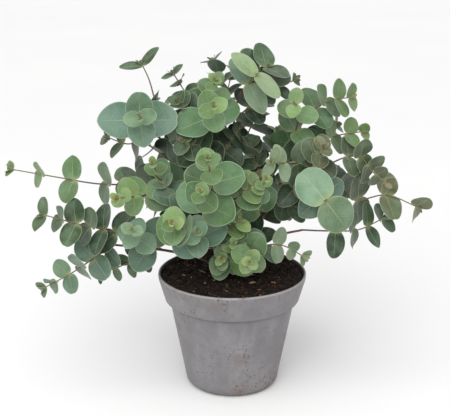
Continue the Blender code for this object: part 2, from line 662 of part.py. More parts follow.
def shoot_from(row, stems):
    """A shoot from its row of the table: its curve and radii, with no leaves yet."""
    name, stem, share, way, pairs, leaf, last, shape, first, crowd, turn, colour = row
    line = shoot_line(stems[stem], share, way)
    return {
        "name": name, "line": line, "radii": tapered(line, TWIG_RADIUS, TWIG_TIP_RADIUS), "pairs": pairs,
        "leaf": leaf, "last": last, "shape": shape, "first": first, "crowd": crowd, "turn": turn,
        "colour": colour, "stem": stem, "start": share, "way": way, "leaves": [],
    }


def grow_leaves(shoot, wood, foliage, chance):
    """Gives a shoot its leaves, clear of the wood and of the foliage, which they then join."""
    for number in range(shoot["pairs"]):
        share = number / (shoot["pairs"] - 1)
        turn = pair_turn(shoot, number) + chance.uniform(-12, 12)
        pair = grown_pair(shoot, share, pair_place(shoot, share), turn, chance, wood + foliage)
        shoot["leaves"] += [leaf for leaf, _ in pair]
        foliage += [box for _, box in pair]


def grow():
    """Every stem and shoot of the plant, with its curve, radii and leaves."""
    stems = {}
    for name, (foot, *way) in STEMS.items():
        line = stem_line(foot, way)
        stems[name] = {"line": line, "radii": tapered(line, STEM_RADIUS, STEM_END_RADIUS)}
    shoots = [shoot_from(row, stems) for row in SHOOTS]
    wood = [tube_tree(stem["line"], stem["radii"], LEAF_GAP) for stem in stems.values()]
    twigs = {shoot["name"]: tube_tree(shoot["line"], shoot["radii"], LEAF_GAP) for shoot in shoots}
    foliage = []
    chance = random.Random(7)
    for shoot in shoots:
        others = wood + [tree for name, tree in twigs.items() if name != shoot["name"]]
        grow_leaves(shoot, others, foliage, chance)
    return stems, shoots


def make_plant(stems, shoots):
    for name, stem in stems.items():
        tube(f"stem_{name}", stem["line"], stem["radii"], (0.20, 0.14, 0.10), 1)
    twigs = [
        tube(f"shoot_{shoot['name']}", shoot["line"], shoot["radii"], COLOURS[shoot["colour"]], 0)
        for shoot in shoots
    ]
    for shoot, twig in zip(shoots, twigs):
        blades = helper_collection(f"leaves_{shoot['name']}")
        for number, leaf in enumerate(shoot["leaves"]):
            mesh = mesh_from(leaf_work(leaf), "leaf")
            hidden(mesh, f"leaf_{shoot['name']}_{number}", blades)
        boolean(twig, "UNION", blades)


def main():
    clear_scene()
    stems, shoots = grow()
    make_plant(stems, shoots)
    make_pot()
    make_compost(stems)
    make_litter()


main()
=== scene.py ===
"""Looks of the potted eucalyptus: fine leaves, twigs, stems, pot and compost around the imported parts.

Metres, +Z up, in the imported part's own frame. The plant grows here by the same design table and the
same rules as the part, so each fine leaf lies where its solid lies. Side twigs, which only grow here,
fill the bush.
"""

import json
import math
import random
from itertools import product
import bmesh
import bpy
import numpy as np
from mathutils import Matrix, Vector, noise
from mathutils.bvhtree import BVHTree

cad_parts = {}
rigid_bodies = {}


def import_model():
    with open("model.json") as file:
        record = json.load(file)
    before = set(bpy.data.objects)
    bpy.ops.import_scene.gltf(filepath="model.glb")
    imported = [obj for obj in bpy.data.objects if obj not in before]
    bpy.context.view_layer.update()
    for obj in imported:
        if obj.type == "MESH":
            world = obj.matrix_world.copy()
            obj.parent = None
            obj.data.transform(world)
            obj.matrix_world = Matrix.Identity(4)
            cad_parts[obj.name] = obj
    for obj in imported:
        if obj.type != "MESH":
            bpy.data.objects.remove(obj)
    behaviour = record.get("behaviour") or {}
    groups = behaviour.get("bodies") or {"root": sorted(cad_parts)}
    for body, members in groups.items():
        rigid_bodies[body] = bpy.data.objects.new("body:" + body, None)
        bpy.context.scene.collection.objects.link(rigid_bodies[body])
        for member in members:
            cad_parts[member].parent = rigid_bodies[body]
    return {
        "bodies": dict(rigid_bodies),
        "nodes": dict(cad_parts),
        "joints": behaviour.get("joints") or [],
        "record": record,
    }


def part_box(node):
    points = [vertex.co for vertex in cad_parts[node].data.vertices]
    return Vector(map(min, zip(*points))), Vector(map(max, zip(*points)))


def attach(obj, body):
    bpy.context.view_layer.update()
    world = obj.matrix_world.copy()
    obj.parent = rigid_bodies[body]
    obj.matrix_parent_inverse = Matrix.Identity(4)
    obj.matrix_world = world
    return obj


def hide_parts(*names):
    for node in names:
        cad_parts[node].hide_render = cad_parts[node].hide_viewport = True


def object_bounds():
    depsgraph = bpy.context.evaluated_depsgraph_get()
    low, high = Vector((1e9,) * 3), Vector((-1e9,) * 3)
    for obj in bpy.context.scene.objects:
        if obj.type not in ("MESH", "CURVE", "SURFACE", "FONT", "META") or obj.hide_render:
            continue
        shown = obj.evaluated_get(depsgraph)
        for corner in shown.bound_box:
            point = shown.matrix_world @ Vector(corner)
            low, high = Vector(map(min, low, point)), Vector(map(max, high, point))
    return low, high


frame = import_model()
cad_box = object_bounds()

# ---------------------------------------------------------------- sizes

POT_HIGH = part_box("pot")[1]
POT_HEIGHT = round(POT_HIGH.z, 4)
RIM_RADIUS = round(POT_HIGH.x, 4)
CLEARANCE = 0.0003  # between two pieces that touch
COLLAR_HEIGHT = 0.031
COLLAR_TAPER = 0.0075  # radius lost down the collar
COLLAR_STEP = 0.0055  # ledge under the collar
WALL_TAPER = 0.0176  # radius lost from the ledge to the base
POT_WALL = 0.0016
LIP_WIDTH = 0.0028
LIP_SET_BACK = 0.0004  # the collar's face lies this far inside the lip
LEDGE_ROUND = 0.0008  # the collar's lower edge is rounded off by this much
BASE_ROUND = 0.010
FOOT_HEIGHT = 0.003  # the floor is raised this far between the foot ring and the pad
FOOT_RING_WIDTH = 0.006
PAD_RADIUS = 0.013
DRAIN_HOLES = 6
DRAIN_RADIUS = 0.0035
COMPOST_RECESS = 0.006  # from the rim down to the compost at the wall
COMPOST_MOUND = 0.008  # the compost rises this far to its middle
STEM_DEPTH = 0.032  # each stem's foot below the compost
CROWN_HEIGHT = 0.002  # each stem leaves its hole and starts to bend this far above the compost
STEM_RADIUS = 0.0018
STEM_END_RADIUS = 0.0012
TWIG_RADIUS = 0.0010
TWIG_TIP_RADIUS = 0.0006
STEM_STEPS = 3  # straight pieces between two points of a stem's way
TWIG_STEPS = 2
LEAF_SIZE = 1.0  # scales every leaf
LEAF_THICKNESS = 0.0015
LEAF_SIDES = 8
LEAF_CUP = 0.06  # rise of the blade's edges, as a share of its width
LEAF_HEEL = 0.25  # how far a blade reaches past its twig's middle, as a share of the twig's radius
LIGHT_TURN = 0.90  # how far a blade turns on its midrib from square to its twig towards the light
LEAF_STAGGER = 0.0004  # a pair's second leaf sits this much further along the twig
LEAF_GAP = 0.0006  # between a leaf and any other piece
LEAF_EGG = 0.14  # how much broader a blade is towards its base, as a share of its width
LEAF_CREST = 0.36  # where a blade is thickest, as a share of its length
ROSETTE_CROWD = 1.2  # a shoot that crowds its pairs this much is a rosette
SPRAY_SQUEEZE = 0.62  # how far the pairs of other shoots still stand off the upright plane of their twig
LAST_PAIR = 0.985  # where a shoot's last pair sits, as a share of its twig
OLD_LIFT = 86  # degrees between a full-grown blade and its twig
YOUNG_LIFT = 40  # the same for a blade that has only just opened
SPRAY_FALL = 1.6  # how late along a spray its blades start to get smaller
ROSETTE_FALL = 0.8  # the same for a rosette
SPRAY_FADE = 0.12  # how much less the last blades of a spray turn to the light
ROSETTE_FADE = 1.0  # the same for a rosette, whose last blades don't turn
NEAR = 1.3  # a blade meets nothing further from its base than this many of its lengths
SWAY = 8  # degrees by which a blade's lift varies
TRY_SIZES = (1.0, 0.88, 0.76, 0.64, 0.52)  # a pair that meets another piece tries these shares of its size
TRY_TURNS = (0, 15, -15, 30, -30, 45, -45, 60, -60, 75, 90)  # the same, in degrees round its twig
TRY_LIFTS = (0, -12, 12, -24, -36, 24)  # the same, in degrees of lift
LIGHT_ASIDE = 0.8  # blades turn away from the bush's middle line this much to the sides,
LIGHT_DEPTH = 5.0  # this much to the front or back,
LIGHT_FRONT = 0.40  # everywhere this much to the front
LIGHT_UP = 0.32  # and this much up
GROW_SEED = 7

LEDGE_HEIGHT = POT_HEIGHT - COLLAR_HEIGHT
POT_SPOKES = 144
POT_ROUND = 0.0007  # rounding of the pot's other edges
SLIGHT_BEND = math.radians(12)  # an outline's corner that bends less isn't rounded
DRAIN_SIDES = 24
COMPOST_SPOKES = 150
COMPOST_RINGS = 48
BANK_HEIGHT = 0.0026  # loose compost lies this much higher against the wall
CLODS = ((120, 0.0022), (380, 0.0012), (45, 0.0012))  # how many to a metre, and their height
CRUMBS = 1700
FIBRES = 260
BARK_BITS = 60
BARK_TONES = ((0.34, 0.16, 0.06), (0.40, 0.27, 0.14), (0.22, 0.10, 0.05), (0.45, 0.36, 0.22))
COMPOST_SEED = 23
LITTER_SEED = 5

BLADE_RINGS = (0.20, 0.42, 0.64, 0.82, 0.93, 0.98, 1.0)  # rings of a fine blade, as shares of its outline
BLADE_SPOKES = 32
BLADE_THICKNESS = 0.0005
BLADE_MIDDLE = 0.44  # where a blade's rings centre, as a share of its length
BLADE_TIPS = (-0.035, -0.02, -0.005, 0.01, 0.025)  # notched to pointed ends, as shares of a blade's length
STEM_SIDES = 12
TWIG_SIDES = 8
FINE_STEPS = 8  # straight pieces between two points of a fine stem's or twig's way
KNUCKLE = 0.45  # a twig is this much thicker where a pair of leaves grows
KNUCKLE_LENGTH = 0.0012
KNUCKLE_STEPS = (-1.5, -0.9, -0.45, 0.0, 0.45, 0.9, 1.5)  # a knuckle's points, in its lengths
BUDS = ((0.0060, 30), (0.0040, 14))  # a tip's folded pairs: length, and degrees from the twig
BUD_SHAPE = 0.62
BUD_SINK = 0.0006  # the buds start this far back from the twig's tip

# Stems: where each stands, then its way up and out. Heights are above the rim.
STEMS = {
    "left_low": ((-0.020, -0.004), (-0.038, -0.006, 0.018), (-0.070, -0.006, 0.026),
                 (-0.105, -0.015, 0.034), (-0.130, -0.025, 0.040)),
    "left": ((-0.016, 0.006), (-0.026, 0.004, 0.040), (-0.048, 0.005, 0.078),
             (-0.072, 0.000, 0.096), (-0.105, -0.008, 0.105)),
    "upper_left": ((-0.010, 0.015), (-0.028, 0.014, 0.050), (-0.055, 0.004, 0.115),
                   (-0.073, -0.006, 0.160), (-0.080, -0.008, 0.182)),
    "centre": ((-0.004, 0.004), (-0.012, 0.010, 0.065), (-0.020, 0.010, 0.125),
               (-0.025, 0.005, 0.165), (-0.026, 0.000, 0.188)),
    "front_left": ((-0.012, -0.012), (-0.026, -0.030, 0.048), (-0.044, -0.066, 0.076)),
    "front": ((-0.002, -0.008), (-0.010, -0.028, 0.060), (-0.018, -0.055, 0.105)),
    "top": ((0.004, 0.014), (0.006, 0.028, 0.060), (0.006, 0.030, 0.125),
            (0.002, 0.020, 0.180), (0.015, 0.010, 0.213)),
    "upper_right": ((0.012, 0.008), (0.022, 0.018, 0.060), (0.044, 0.020, 0.105),
                    (0.065, 0.015, 0.140), (0.076, 0.010, 0.168)),
    "right": ((0.016, -0.002), (0.028, 0.002, 0.052), (0.055, 0.000, 0.090),
              (0.085, -0.010, 0.115), (0.110, -0.015, 0.125)),
    "right_low": ((0.020, -0.011), (0.032, -0.012, 0.034), (0.055, -0.013, 0.048),
                  (0.078, -0.014, 0.054)),
    "front_low": ((0.007, -0.017), (0.012, -0.028, 0.026), (0.020, -0.046, 0.040)),
    "back": ((-0.002, 0.025), (-0.006, 0.042, 0.055), (-0.012, 0.065, 0.110),
             (-0.010, 0.085, 0.160)),
}

# Shoots: (name, stem, share of the stem's length where it starts, way to its tip,
#          pairs of leaves, leaf length, last pair's share of that length, leaf width / length,
#          share of the twig where the pairs start, crowding towards the tip,
#          turn of the first pair in degrees, colour)
SHOOTS = (
    ("rosette_front_high", "front", 1.00,
     ((-0.022, -0.072, 0.126), (-0.024, -0.096, 0.146), (-0.025, -0.124, 0.166)),
     4, 0.037, 0.18, 0.98, 0.25, 1.5, 20, "light"),
    ("rosette_front", "front", 0.80,
     ((-0.032, -0.076, 0.107), (-0.033, -0.098, 0.119), (-0.033, -0.122, 0.130)),
     4, 0.038, 0.18, 0.98, 0.28, 1.4, 60, "light"),
    ("rosette_front_left", "front_left", 1.00,
     ((-0.058, -0.084, 0.076), (-0.060, -0.098, 0.085), (-0.062, -0.114, 0.094)),
     4, 0.036, 0.18, 0.98, 0.20, 1.3, 10, "young"),
    ("rosette_front_low", "front_left", 0.70,
     ((-0.036, -0.066, 0.062), (-0.037, -0.086, 0.072), (-0.037, -0.104, 0.082)),
     4, 0.033, 0.24, 0.98, 0.25, 1.3, 50, "blue"),
    ("rosette_high_left", "upper_left", 0.90,
     ((-0.101, -0.028, 0.182), (-0.097, -0.054, 0.189), (-0.095, -0.080, 0.197)),
     4, 0.048, 0.14, 0.91, 0.42, 1.4, 8, "blue"),
    ("high_left", "upper_left", 1.00,
     ((-0.086, -0.004, 0.205), (-0.091, 0.000, 0.222), (-0.098, 0.000, 0.238)),
     2, 0.034, 0.80, 0.55, 0.25, 1.1, -145, "dark"),
    ("side_left", "upper_left", 0.68,
     ((-0.095, -0.002, 0.150), (-0.118, 0.000, 0.150), (-0.137, 0.000, 0.157)),
     5, 0.034, 0.50, 1.00, 0.15, 1.1, 45, "dark"),
    ("light_left", "upper_left", 0.52,
     ((-0.079, -0.030, 0.117), (-0.082, -0.048, 0.132), (-0.084, -0.064, 0.144)),
     4, 0.034, 0.28, 0.95, 0.20, 1.2, 0, "light"),
    ("bud_centre", "centre", 1.00,
     ((-0.023, 0.006, 0.197), (-0.020, -0.008, 0.213), (-0.019, -0.026, 0.226)),
     4, 0.031, 0.28, 0.97, 0.10, 1.3, 45, "light"),
    ("cluster_centre", "centre", 0.86,
     ((-0.027, -0.022, 0.186), (-0.022, -0.046, 0.196), (-0.020, -0.068, 0.206)),
     4, 0.039, 0.20, 0.98, 0.35, 1.4, 25, "light"),
    ("small_leaved", "centre", 0.76,
     ((-0.038, 0.022, 0.175), (-0.052, 0.032, 0.200), (-0.066, 0.036, 0.222)),
     6, 0.026, 0.55, 0.95, 0.20, 1.1, 45, "dark"),
    ("dark_centre", "centre", 0.58,
     ((-0.032, -0.004, 0.136), (-0.042, -0.018, 0.150), (-0.052, -0.032, 0.160)),
     5, 0.036, 0.50, 0.93, 0.20, 1.1, 75, "dark"),
    ("rosette_left", "left", 0.85,
     ((-0.098, -0.035, 0.100), (-0.110, -0.060, 0.106), (-0.121, -0.085, 0.112)),
     4, 0.033, 0.28, 1.00, 0.30, 1.3, 35, "young"),
    ("heart_left", "left_low", 0.55,
     ((-0.102, -0.040, 0.051), (-0.105, -0.060, 0.063), (-0.106, -0.078, 0.075)),
     4, 0.035, 0.40, 0.97, 0.25, 1.2, 65, "blue"),
    ("left_long", "left", 1.00,
     ((-0.150, -0.014, 0.108), (-0.195, -0.015, 0.116), (-0.242, -0.020, 0.126)),
     4, 0.031, 0.36, 0.93, 0.24, 1.1, 45, "light"),
    ("left_mid", "left_low", 0.88,
     ((-0.130, -0.030, 0.056), (-0.172, -0.042, 0.071), (-0.204, -0.050, 0.083)),
     6, 0.033, 0.60, 0.90, 0.22, 0.9, 45, "dark"),
    ("left_low", "left_low", 1.00,
     ((-0.150, -0.036, 0.031), (-0.176, -0.048, 0.016), (-0.206, -0.058, 0.002)),
     6, 0.032, 0.40, 0.90, 0.12, 1.1, 40, "blue"),
    ("left_under", "left_low", 0.66,
     ((-0.112, -0.020, 0.020), (-0.130, -0.022, 0.012), (-0.147, -0.022, 0.006)),
     4, 0.023, 0.60, 0.65, 0.15, 1.0, 70, "dark"),
    ("dark_left", "left", 0.62,
     ((-0.080, 0.028, 0.092), (-0.102, 0.044, 0.098), (-0.128, 0.054, 0.094)),
     6, 0.035, 0.55, 0.98, 0.15, 1.1, 45, "dark"),
    ("top_cluster", "top", 1.00,
     ((0.019, 0.010, 0.215), (0.028, 0.008, 0.224), (0.037, 0.008, 0.234)),
     3, 0.041, 0.80, 0.97, 0.04, 1.1, 45, "dark"),
    ("top_left", "top", 0.92,
     ((0.008, 0.008, 0.204), (0.017, -0.006, 0.218), (0.025, -0.020, 0.230)),
     2, 0.038, 0.95, 0.62, 0.60, 1.2, 30, "pale"),
    ("top_bud", "top", 0.80,
     ((0.033, 0.020, 0.200), (0.050, 0.016, 0.210), (0.068, 0.012, 0.219)),
     4, 0.028, 0.36, 0.80, 0.25, 1.1, 45, "dark"),
    ("dark_top", "top", 0.55,
     ((0.016, 0.044, 0.146), (0.024, 0.050, 0.164), (0.032, 0.056, 0.184)),
     5, 0.034, 0.55, 0.98, 0.20, 1.1, 45, "dark"),
    ("high_right", "upper_right", 1.00,
     ((0.086, 0.004, 0.185), (0.105, 0.000, 0.198), (0.128, -0.005, 0.203)),
     4, 0.029, 0.62, 1.00, 0.38, 1.0, 45, "light"),
    ("round_right", "upper_right", 0.86,
     ((0.072, -0.008, 0.179), (0.069, -0.024, 0.193), (0.066, -0.036, 0.202)),
     3, 0.030, 0.62, 0.90, 0.30, 1.2, 80, "light"),
    ("mid_right", "upper_right", 0.70,
     ((0.096, 0.008, 0.150), (0.119, 0.000, 0.160), (0.143, -0.005, 0.165)),
     6, 0.032, 0.42, 0.95, 0.12, 1.1, 45, "light"),
    ("inner_right", "upper_right", 0.46,
     ((0.075, -0.006, 0.126), (0.061, -0.030, 0.135), (0.042, -0.056, 0.143)),
     5, 0.031, 0.60, 0.60, 0.22, 1.1, 45, "pale"),
    ("ring_rosette", "right", 0.36,
     ((0.025, -0.040, 0.104), (0.031, -0.064, 0.119), (0.034, -0.090, 0.135)),
     4, 0.029, 0.22, 1.00, 0.25, 1.3, 30, "light"),
    ("big_leaved", "right", 0.66,
     ((0.093, -0.040, 0.101), (0.095, -0.062, 0.104), (0.096, -0.088, 0.110)),
     2, 0.032, 1.22, 0.95, 0.55, 1.2, 45, "blue"),
    ("arc_right", "right", 0.86,
     ((0.123, -0.018, 0.139), (0.140, -0.024, 0.140), (0.151, -0.028, 0.127),
      (0.167, -0.032, 0.113)),
     5, 0.026, 0.50, 0.97, 0.45, 1.0, 45, "olive"),
    ("right_long", "right", 1.00,
     ((0.133, -0.014, 0.090), (0.171, -0.014, 0.095), (0.205, -0.020, 0.083)),
     4, 0.034, 0.80, 0.95, 0.16, 0.9, 45, "olive"),
    ("right_arc", "right_low", 1.00,
     ((0.110, -0.014, 0.053), (0.141, -0.016, 0.055), (0.167, -0.022, 0.070)),
     4, 0.031, 0.85, 0.75, 0.40, 1.0, 45, "dark"),
    ("inner_green", "right", 0.74,
     ((0.100, 0.018, 0.100), (0.124, 0.034, 0.092), (0.146, 0.046, 0.080)),
     5, 0.037, 0.50, 1.00, 0.20, 1.1, 45, "dark"),
    ("sprout_front", "front_low", 1.00,
     ((0.016, -0.060, 0.039), (0.018, -0.072, 0.040), (0.018, -0.084, 0.041)),
     4, 0.031, 0.40, 0.98, 0.15, 1.2, 50, "young"),
    ("sprout_left", "front_low", 0.62,
     ((0.004, -0.042, 0.038), (0.002, -0.056, 0.047), (0.001, -0.068, 0.056)),
     4, 0.027, 0.32, 0.95, 0.20, 1.2, 0, "light"),
    ("sprout_right", "front_low", 0.42,
     ((0.035, -0.040, 0.044), (0.056, -0.048, 0.047), (0.077, -0.054, 0.037)),
     5, 0.027, 0.42, 0.74, 0.20, 1.0, 45, "pale"),
    ("sprout_crown", "front", 0.22,
     ((-0.010, -0.034, 0.028), (-0.012, -0.048, 0.034), (-0.012, -0.064, 0.038)),
     5, 0.027, 0.40, 0.90, 0.20, 1.1, 20, "light"),
    ("back_high", "back", 1.00,
     ((-0.008, 0.094, 0.178), (-0.004, 0.101, 0.196), (0.000, 0.107, 0.213)),
     5, 0.035, 0.35, 0.97, 0.10, 1.2, 35, "dark"),
    ("back_left", "back", 0.78,
     ((-0.045, 0.085, 0.140), (-0.080, 0.098, 0.155), (-0.110, 0.108, 0.165)),
     6, 0.036, 0.40, 0.95, 0.20, 1.1, 45, "light"),
    ("back_right", "back", 0.58,
     ((0.022, 0.080, 0.112), (0.060, 0.098, 0.126), (0.096, 0.112, 0.132)),
     6, 0.036, 0.40, 0.95, 0.20, 1.1, 45, "light"),
    ("back_low", "back", 0.34,
     ((-0.008, 0.075, 0.058), (-0.012, 0.108, 0.064), (-0.016, 0.142, 0.058)),
     5, 0.035, 0.40, 0.97, 0.25, 1.1, 45, "blue"),
    ("back_side_left", "left", 0.40,
     ((-0.066, 0.045, 0.072), (-0.096, 0.085, 0.070), (-0.122, 0.112, 0.062)),
     5, 0.036, 0.40, 0.97, 0.30, 1.1, 45, "blue"),
    ("back_side_right", "upper_right", 0.32,
     ((0.056, 0.050, 0.078), (0.088, 0.085, 0.080), (0.114, 0.108, 0.072)),
     5, 0.036, 0.40, 0.97, 0.30, 1.1, 45, "blue"),
)

# Loose bits on the compost: name, place, size along x, y and z, turn in degrees, colour
LITTER = (
    ("bark_chip_tan", (0.022, -0.040), (0.0085, 0.0050, 0.0016), 25, (0.42, 0.27, 0.14)),
    ("bark_chip_orange", (0.046, -0.036), (0.0075, 0.0045, 0.0014), -35, (0.36, 0.15, 0.05)),
    ("fallen_twig", (-0.034, -0.008), (0.0120, 0.0014, 0.0014), -50, (0.34, 0.24, 0.14)),
)

# Side twigs that fill the bush: where on each stem they start, how long they are, and their leaf kinds
SIDE_TWIG_STARTS = (0.34, 0.52, 0.68, 0.84)
SIDE_TWIG_REACH = (0.030, 0.060)
SIDE_TWIG_LEAF = (0.026, 0.035)
SIDE_TWIG_KINDS = ("dark", "dark", "dark", "blue", "light", "olive")
SIDE_TWIG_STEPS = (0.35, 0.7, 1.0)  # points of its way, as shares of its reach
SIDE_TWIG_RISE = 0.10  # it curves up by this share of its reach
SIDE_TWIG_PAIRS = (3, 4, 4, 5)
SIDE_TWIG_SHAPE = (0.82, 0.98)
SIDE_TWIG_LAST = 0.5
SIDE_TWIG_FIRST = 0.30
SIDE_TWIG_CROWD = 1.1
SIDE_TWIG_TURN = 45
SIDE_TWIG_TRIES = 6
SIDE_TWIG_INSET = 0.012  # its tip stays this far inside the part's box, and all of it this far over the rim
SIDE_TWIG_SEED = 11
CROWN_FOOT = 0.045  # side twigs end at least this far above the rim
CROWN_REACH = 0.045  # further out than this from the axis, they end higher still
CROWN_SLOPE = 0.9

LEAF_TONES = {  # blade colours: older leaf, younger leaf
    "young": ((0.145, 0.270, 0.085), (0.285, 0.370, 0.095)),
    "light": ((0.100, 0.205, 0.076), (0.215, 0.325, 0.092)),
    "pale": ((0.185, 0.270, 0.180), (0.240, 0.330, 0.185)),
    "blue": ((0.108, 0.200, 0.132), (0.180, 0.280, 0.160)),
    "dark": ((0.026, 0.064, 0.020), (0.060, 0.118, 0.038)),
    "olive": ((0.074, 0.112, 0.046), (0.160, 0.158, 0.058)),
}
ROSETTE_SHADE = 0.93  # scales the colours of a rosette's blades
SPRAY_SHADE = 0.74  # the same for a spray, whose blades are darker
SPRAY_BUD = 1.55  # a spray ends in a bud this much longer than a rosette's

BUD_TONES = {  # tightly folded tip leaves
    "young": (0.34, 0.21, 0.06), "light": (0.30, 0.24, 0.07), "pale": (0.26, 0.27, 0.10),
    "blue": (0.26, 0.22, 0.08), "dark": (0.19, 0.11, 0.045), "olive": (0.23, 0.12, 0.045),
}

FLOOR_SIZE = 200.0
SKY_STRENGTH = 0.64
LIT_POINT = (0.0, 0.0, 0.2)  # what both lights point at
LIGHTS = (  # kind, name, place, width in degrees (sun) or metres (area), power
    ("SUN", "sky_window", (-0.30, -0.95, 1.6), 70, 1.72),
    ("AREA", "key", (-0.25, -1.5, 1.2), 1.0, 7.0),
)
CAMERA_LENS = 81.4
CAMERA_PLACE = (-0.0082, -1.10, 0.544)
CAMERA_TILT = 73.14  # degrees up from straight down


# ---------------------------------------------------------------- pot and compost outlines

def base_radius():
    return RIM_RADIUS - COLLAR_TAPER - COLLAR_STEP - WALL_TAPER


def floor_height():
    return FOOT_HEIGHT + POT_WALL


def rounded_corner(radius, size, steps=4):
    """Points of the rounding from the wall to the underside, outer end first."""
    turns = [math.pi / 2 * step / steps for step in range(steps + 1)]
    return [(radius - size + size * math.cos(turn), size - size * math.sin(turn)) for turn in turns]


def inner_side(gap):
    """The pot's inside from floor to rim, as (radius, height), moved this gap into the pot."""
    collar_foot = RIM_RADIUS - COLLAR_TAPER
    ledge_inner = collar_foot - COLLAR_STEP - POT_WALL - gap
    corner = base_radius() - POT_WALL - gap
    return [
        (corner - 0.5 * BASE_ROUND, floor_height() + gap),
        (corner, floor_height() + 0.6 * BASE_ROUND),
        (ledge_inner, LEDGE_HEIGHT + POT_WALL + gap),
        (collar_foot - POT_WALL - gap, LEDGE_HEIGHT + POT_WALL + gap),
        (RIM_RADIUS - LIP_WIDTH - gap, POT_HEIGHT - LIP_WIDTH),
    ]


def pot_profile():
    collar_foot = RIM_RADIUS - COLLAR_TAPER
    ring_inner = base_radius() - BASE_ROUND - FOOT_RING_WIDTH
    lip = LIP_WIDTH / 2
    lip_top = [
        (RIM_RADIUS - lip - lip * math.cos(turn), POT_HEIGHT - lip + lip * math.sin(turn))
        for turn in (0.0, math.pi / 4, math.pi / 2, 3 * math.pi / 4, math.pi)
    ]
    return (
        [(0.0, floor_height())]
        + inner_side(0.0)[:-1]
        + lip_top
        + [(RIM_RADIUS - LIP_SET_BACK, POT_HEIGHT - 2 * LIP_WIDTH)]
        + [(collar_foot, LEDGE_HEIGHT + LEDGE_ROUND), (collar_foot - LEDGE_ROUND, LEDGE_HEIGHT)]
        + [(collar_foot - COLLAR_STEP, LEDGE_HEIGHT - LEDGE_ROUND)]
        + rounded_corner(base_radius(), BASE_ROUND)
        + [(ring_inner, 0.0), (ring_inner - FOOT_HEIGHT / 2, FOOT_HEIGHT)]
        + [(PAD_RADIUS + FOOT_HEIGHT / 2, FOOT_HEIGHT), (PAD_RADIUS, 0.0), (0.0, 0.0)]
    )


def compost_top(x, y):
    """Height of the compost above the base at a place."""
    share = min(1.0, math.hypot(x, y) / (RIM_RADIUS - LIP_WIDTH))
    return POT_HEIGHT - COMPOST_RECESS + COMPOST_MOUND * (1 - share * share)


# ---------------------------------------------------------------- stems and twigs

def smooth_line(points, before, steps):
    """A smooth curve through the points; before is a point that sets how it leaves the first."""
    after = points[-1] + (points[-1] - points[-2])
    known = [before, *points, after]
    line = [points[0].copy()]
    for index in range(1, len(known) - 2):
        a, b, c, d = known[index - 1:index + 3]
        for step in range(1, steps + 1):
            t = step / steps
            line.append(
                0.5 * (2 * b + (c - a) * t + (2 * a - 5 * b + 4 * c - d) * t * t
                       + (3 * b - a - 3 * c + d) * t ** 3)
            )
    return line


def tapered(line, first, last):
    return [first + (last - first) * index / (len(line) - 1) for index in range(len(line))]


def at_share(line, radii, share):
    """The point, direction and radius this share of the way along a line."""
    lengths = [(b - a).length for a, b in zip(line, line[1:])]
    left = share * sum(lengths)
    for index, length in enumerate(lengths):
        if left <= length or index == len(lengths) - 1:
            break
        left -= length
    part = left / length
    along = (line[index + 1] - line[index]).normalized()
    radius = radii[index] + (radii[index + 1] - radii[index]) * part
    return line[index].lerp(line[index + 1], part), along, radius


def stem_line(foot, way, steps=STEM_STEPS):
    """The stem's foot, its crown just above the compost, and its way up and out."""
    top = compost_top(*foot)
    crown = Vector((*foot, top + CROWN_HEIGHT))
    points = [crown] + [Vector((x, y, POT_HEIGHT + z)) for x, y, z in way]
    below = crown - Vector((0, 0, STEM_DEPTH))
    return [Vector((*foot, top - STEM_DEPTH))] + smooth_line(points, below, steps)


def shoot_line(stem, share, way, steps=TWIG_STEPS):
    """The twig's curve, which starts its clearance off the stem's side or end."""
    centre, along, radius = at_share(stem["line"][1:], stem["radii"][1:], share)
    points = [Vector((x, y, POT_HEIGHT + z)) for x, y, z in way]
    out = (points[0] - centre).normalized()
    if share < 1:
        normal = (out - along * out.dot(along)).normalized()
    else:
        normal = along
        radius = 0.0
    away = radius + CLEARANCE + TWIG_RADIUS * out.cross(normal).length
    start = centre + normal * away
    return smooth_line([start, *points], start - (points[0] - start) / 2, steps)


# ---------------------------------------------------------------- leaves

def leaf_work(leaf, margin=0.0):
    """A leaf blade as a closed mesh: a flattened ball, drawn to an egg outline and cupped."""
    length = leaf["length"] + margin
    width = leaf["length"] * leaf["shape"] + 2 * margin
    thick = LEAF_THICKNESS * LEAF_SIZE + 2 * margin
    work = bmesh.new()
    bmesh.ops.create_uvsphere(work, u_segments=LEAF_SIDES, v_segments=2, radius=1.0)
    for corner in work.verts:
        x, y, z = corner.co
        share = (x + 1) / 2 if abs(z) < 0.5 else LEAF_CREST
        corner.co = (
            share * (length + leaf["heel"]) - leaf["heel"],
            y * width / 2 * (1 - LEAF_EGG * x),
            z * thick / 2 + LEAF_CUP * width * y * y - leaf["droop"] * length * share * share,
        )
    bmesh.ops.transform(work, matrix=leaf["frame"], verts=work.verts)
    return work


def leaf_frame(base, along, face):
    side = face.cross(along).normalized()
    turned_face = along.cross(side)
    frame = Matrix((along, side, turned_face)).transposed().to_4x4()
    frame.translation = base
    return frame


def tube_tree(line, radii, margin):
    """A search tree of a tube along the line, this margin thicker."""
    sides = 6
    work = bmesh.new()
    for (a, b), radius in zip(zip(line, line[1:]), radii):
        turn = Vector((0, 0, 1)).rotation_difference(b - a).to_matrix().to_4x4()
        reach = (radius + margin) / math.cos(math.pi / sides)
        bmesh.ops.create_cone(
            work, cap_ends=True, segments=sides, radius1=reach, radius2=reach,
            depth=(b - a).length + 2 * margin, matrix=Matrix.Translation((a + b) / 2) @ turn,
        )
    return tree_of(work)


def tree_of(work):
    corners = [corner.co.copy() for corner in work.verts]
    low = Vector([min(place[axis] for place in corners) for axis in range(3)])
    high = Vector([max(place[axis] for place in corners) for axis in range(3)])
    tree = BVHTree.FromBMesh(work)
    work.free()
    return low, high, tree


def meets(one, other):
    if any(one[0][axis] > other[1][axis] or other[0][axis] > one[1][axis] for axis in range(3)):
        return False
    return bool(one[2].overlap(other[2]))


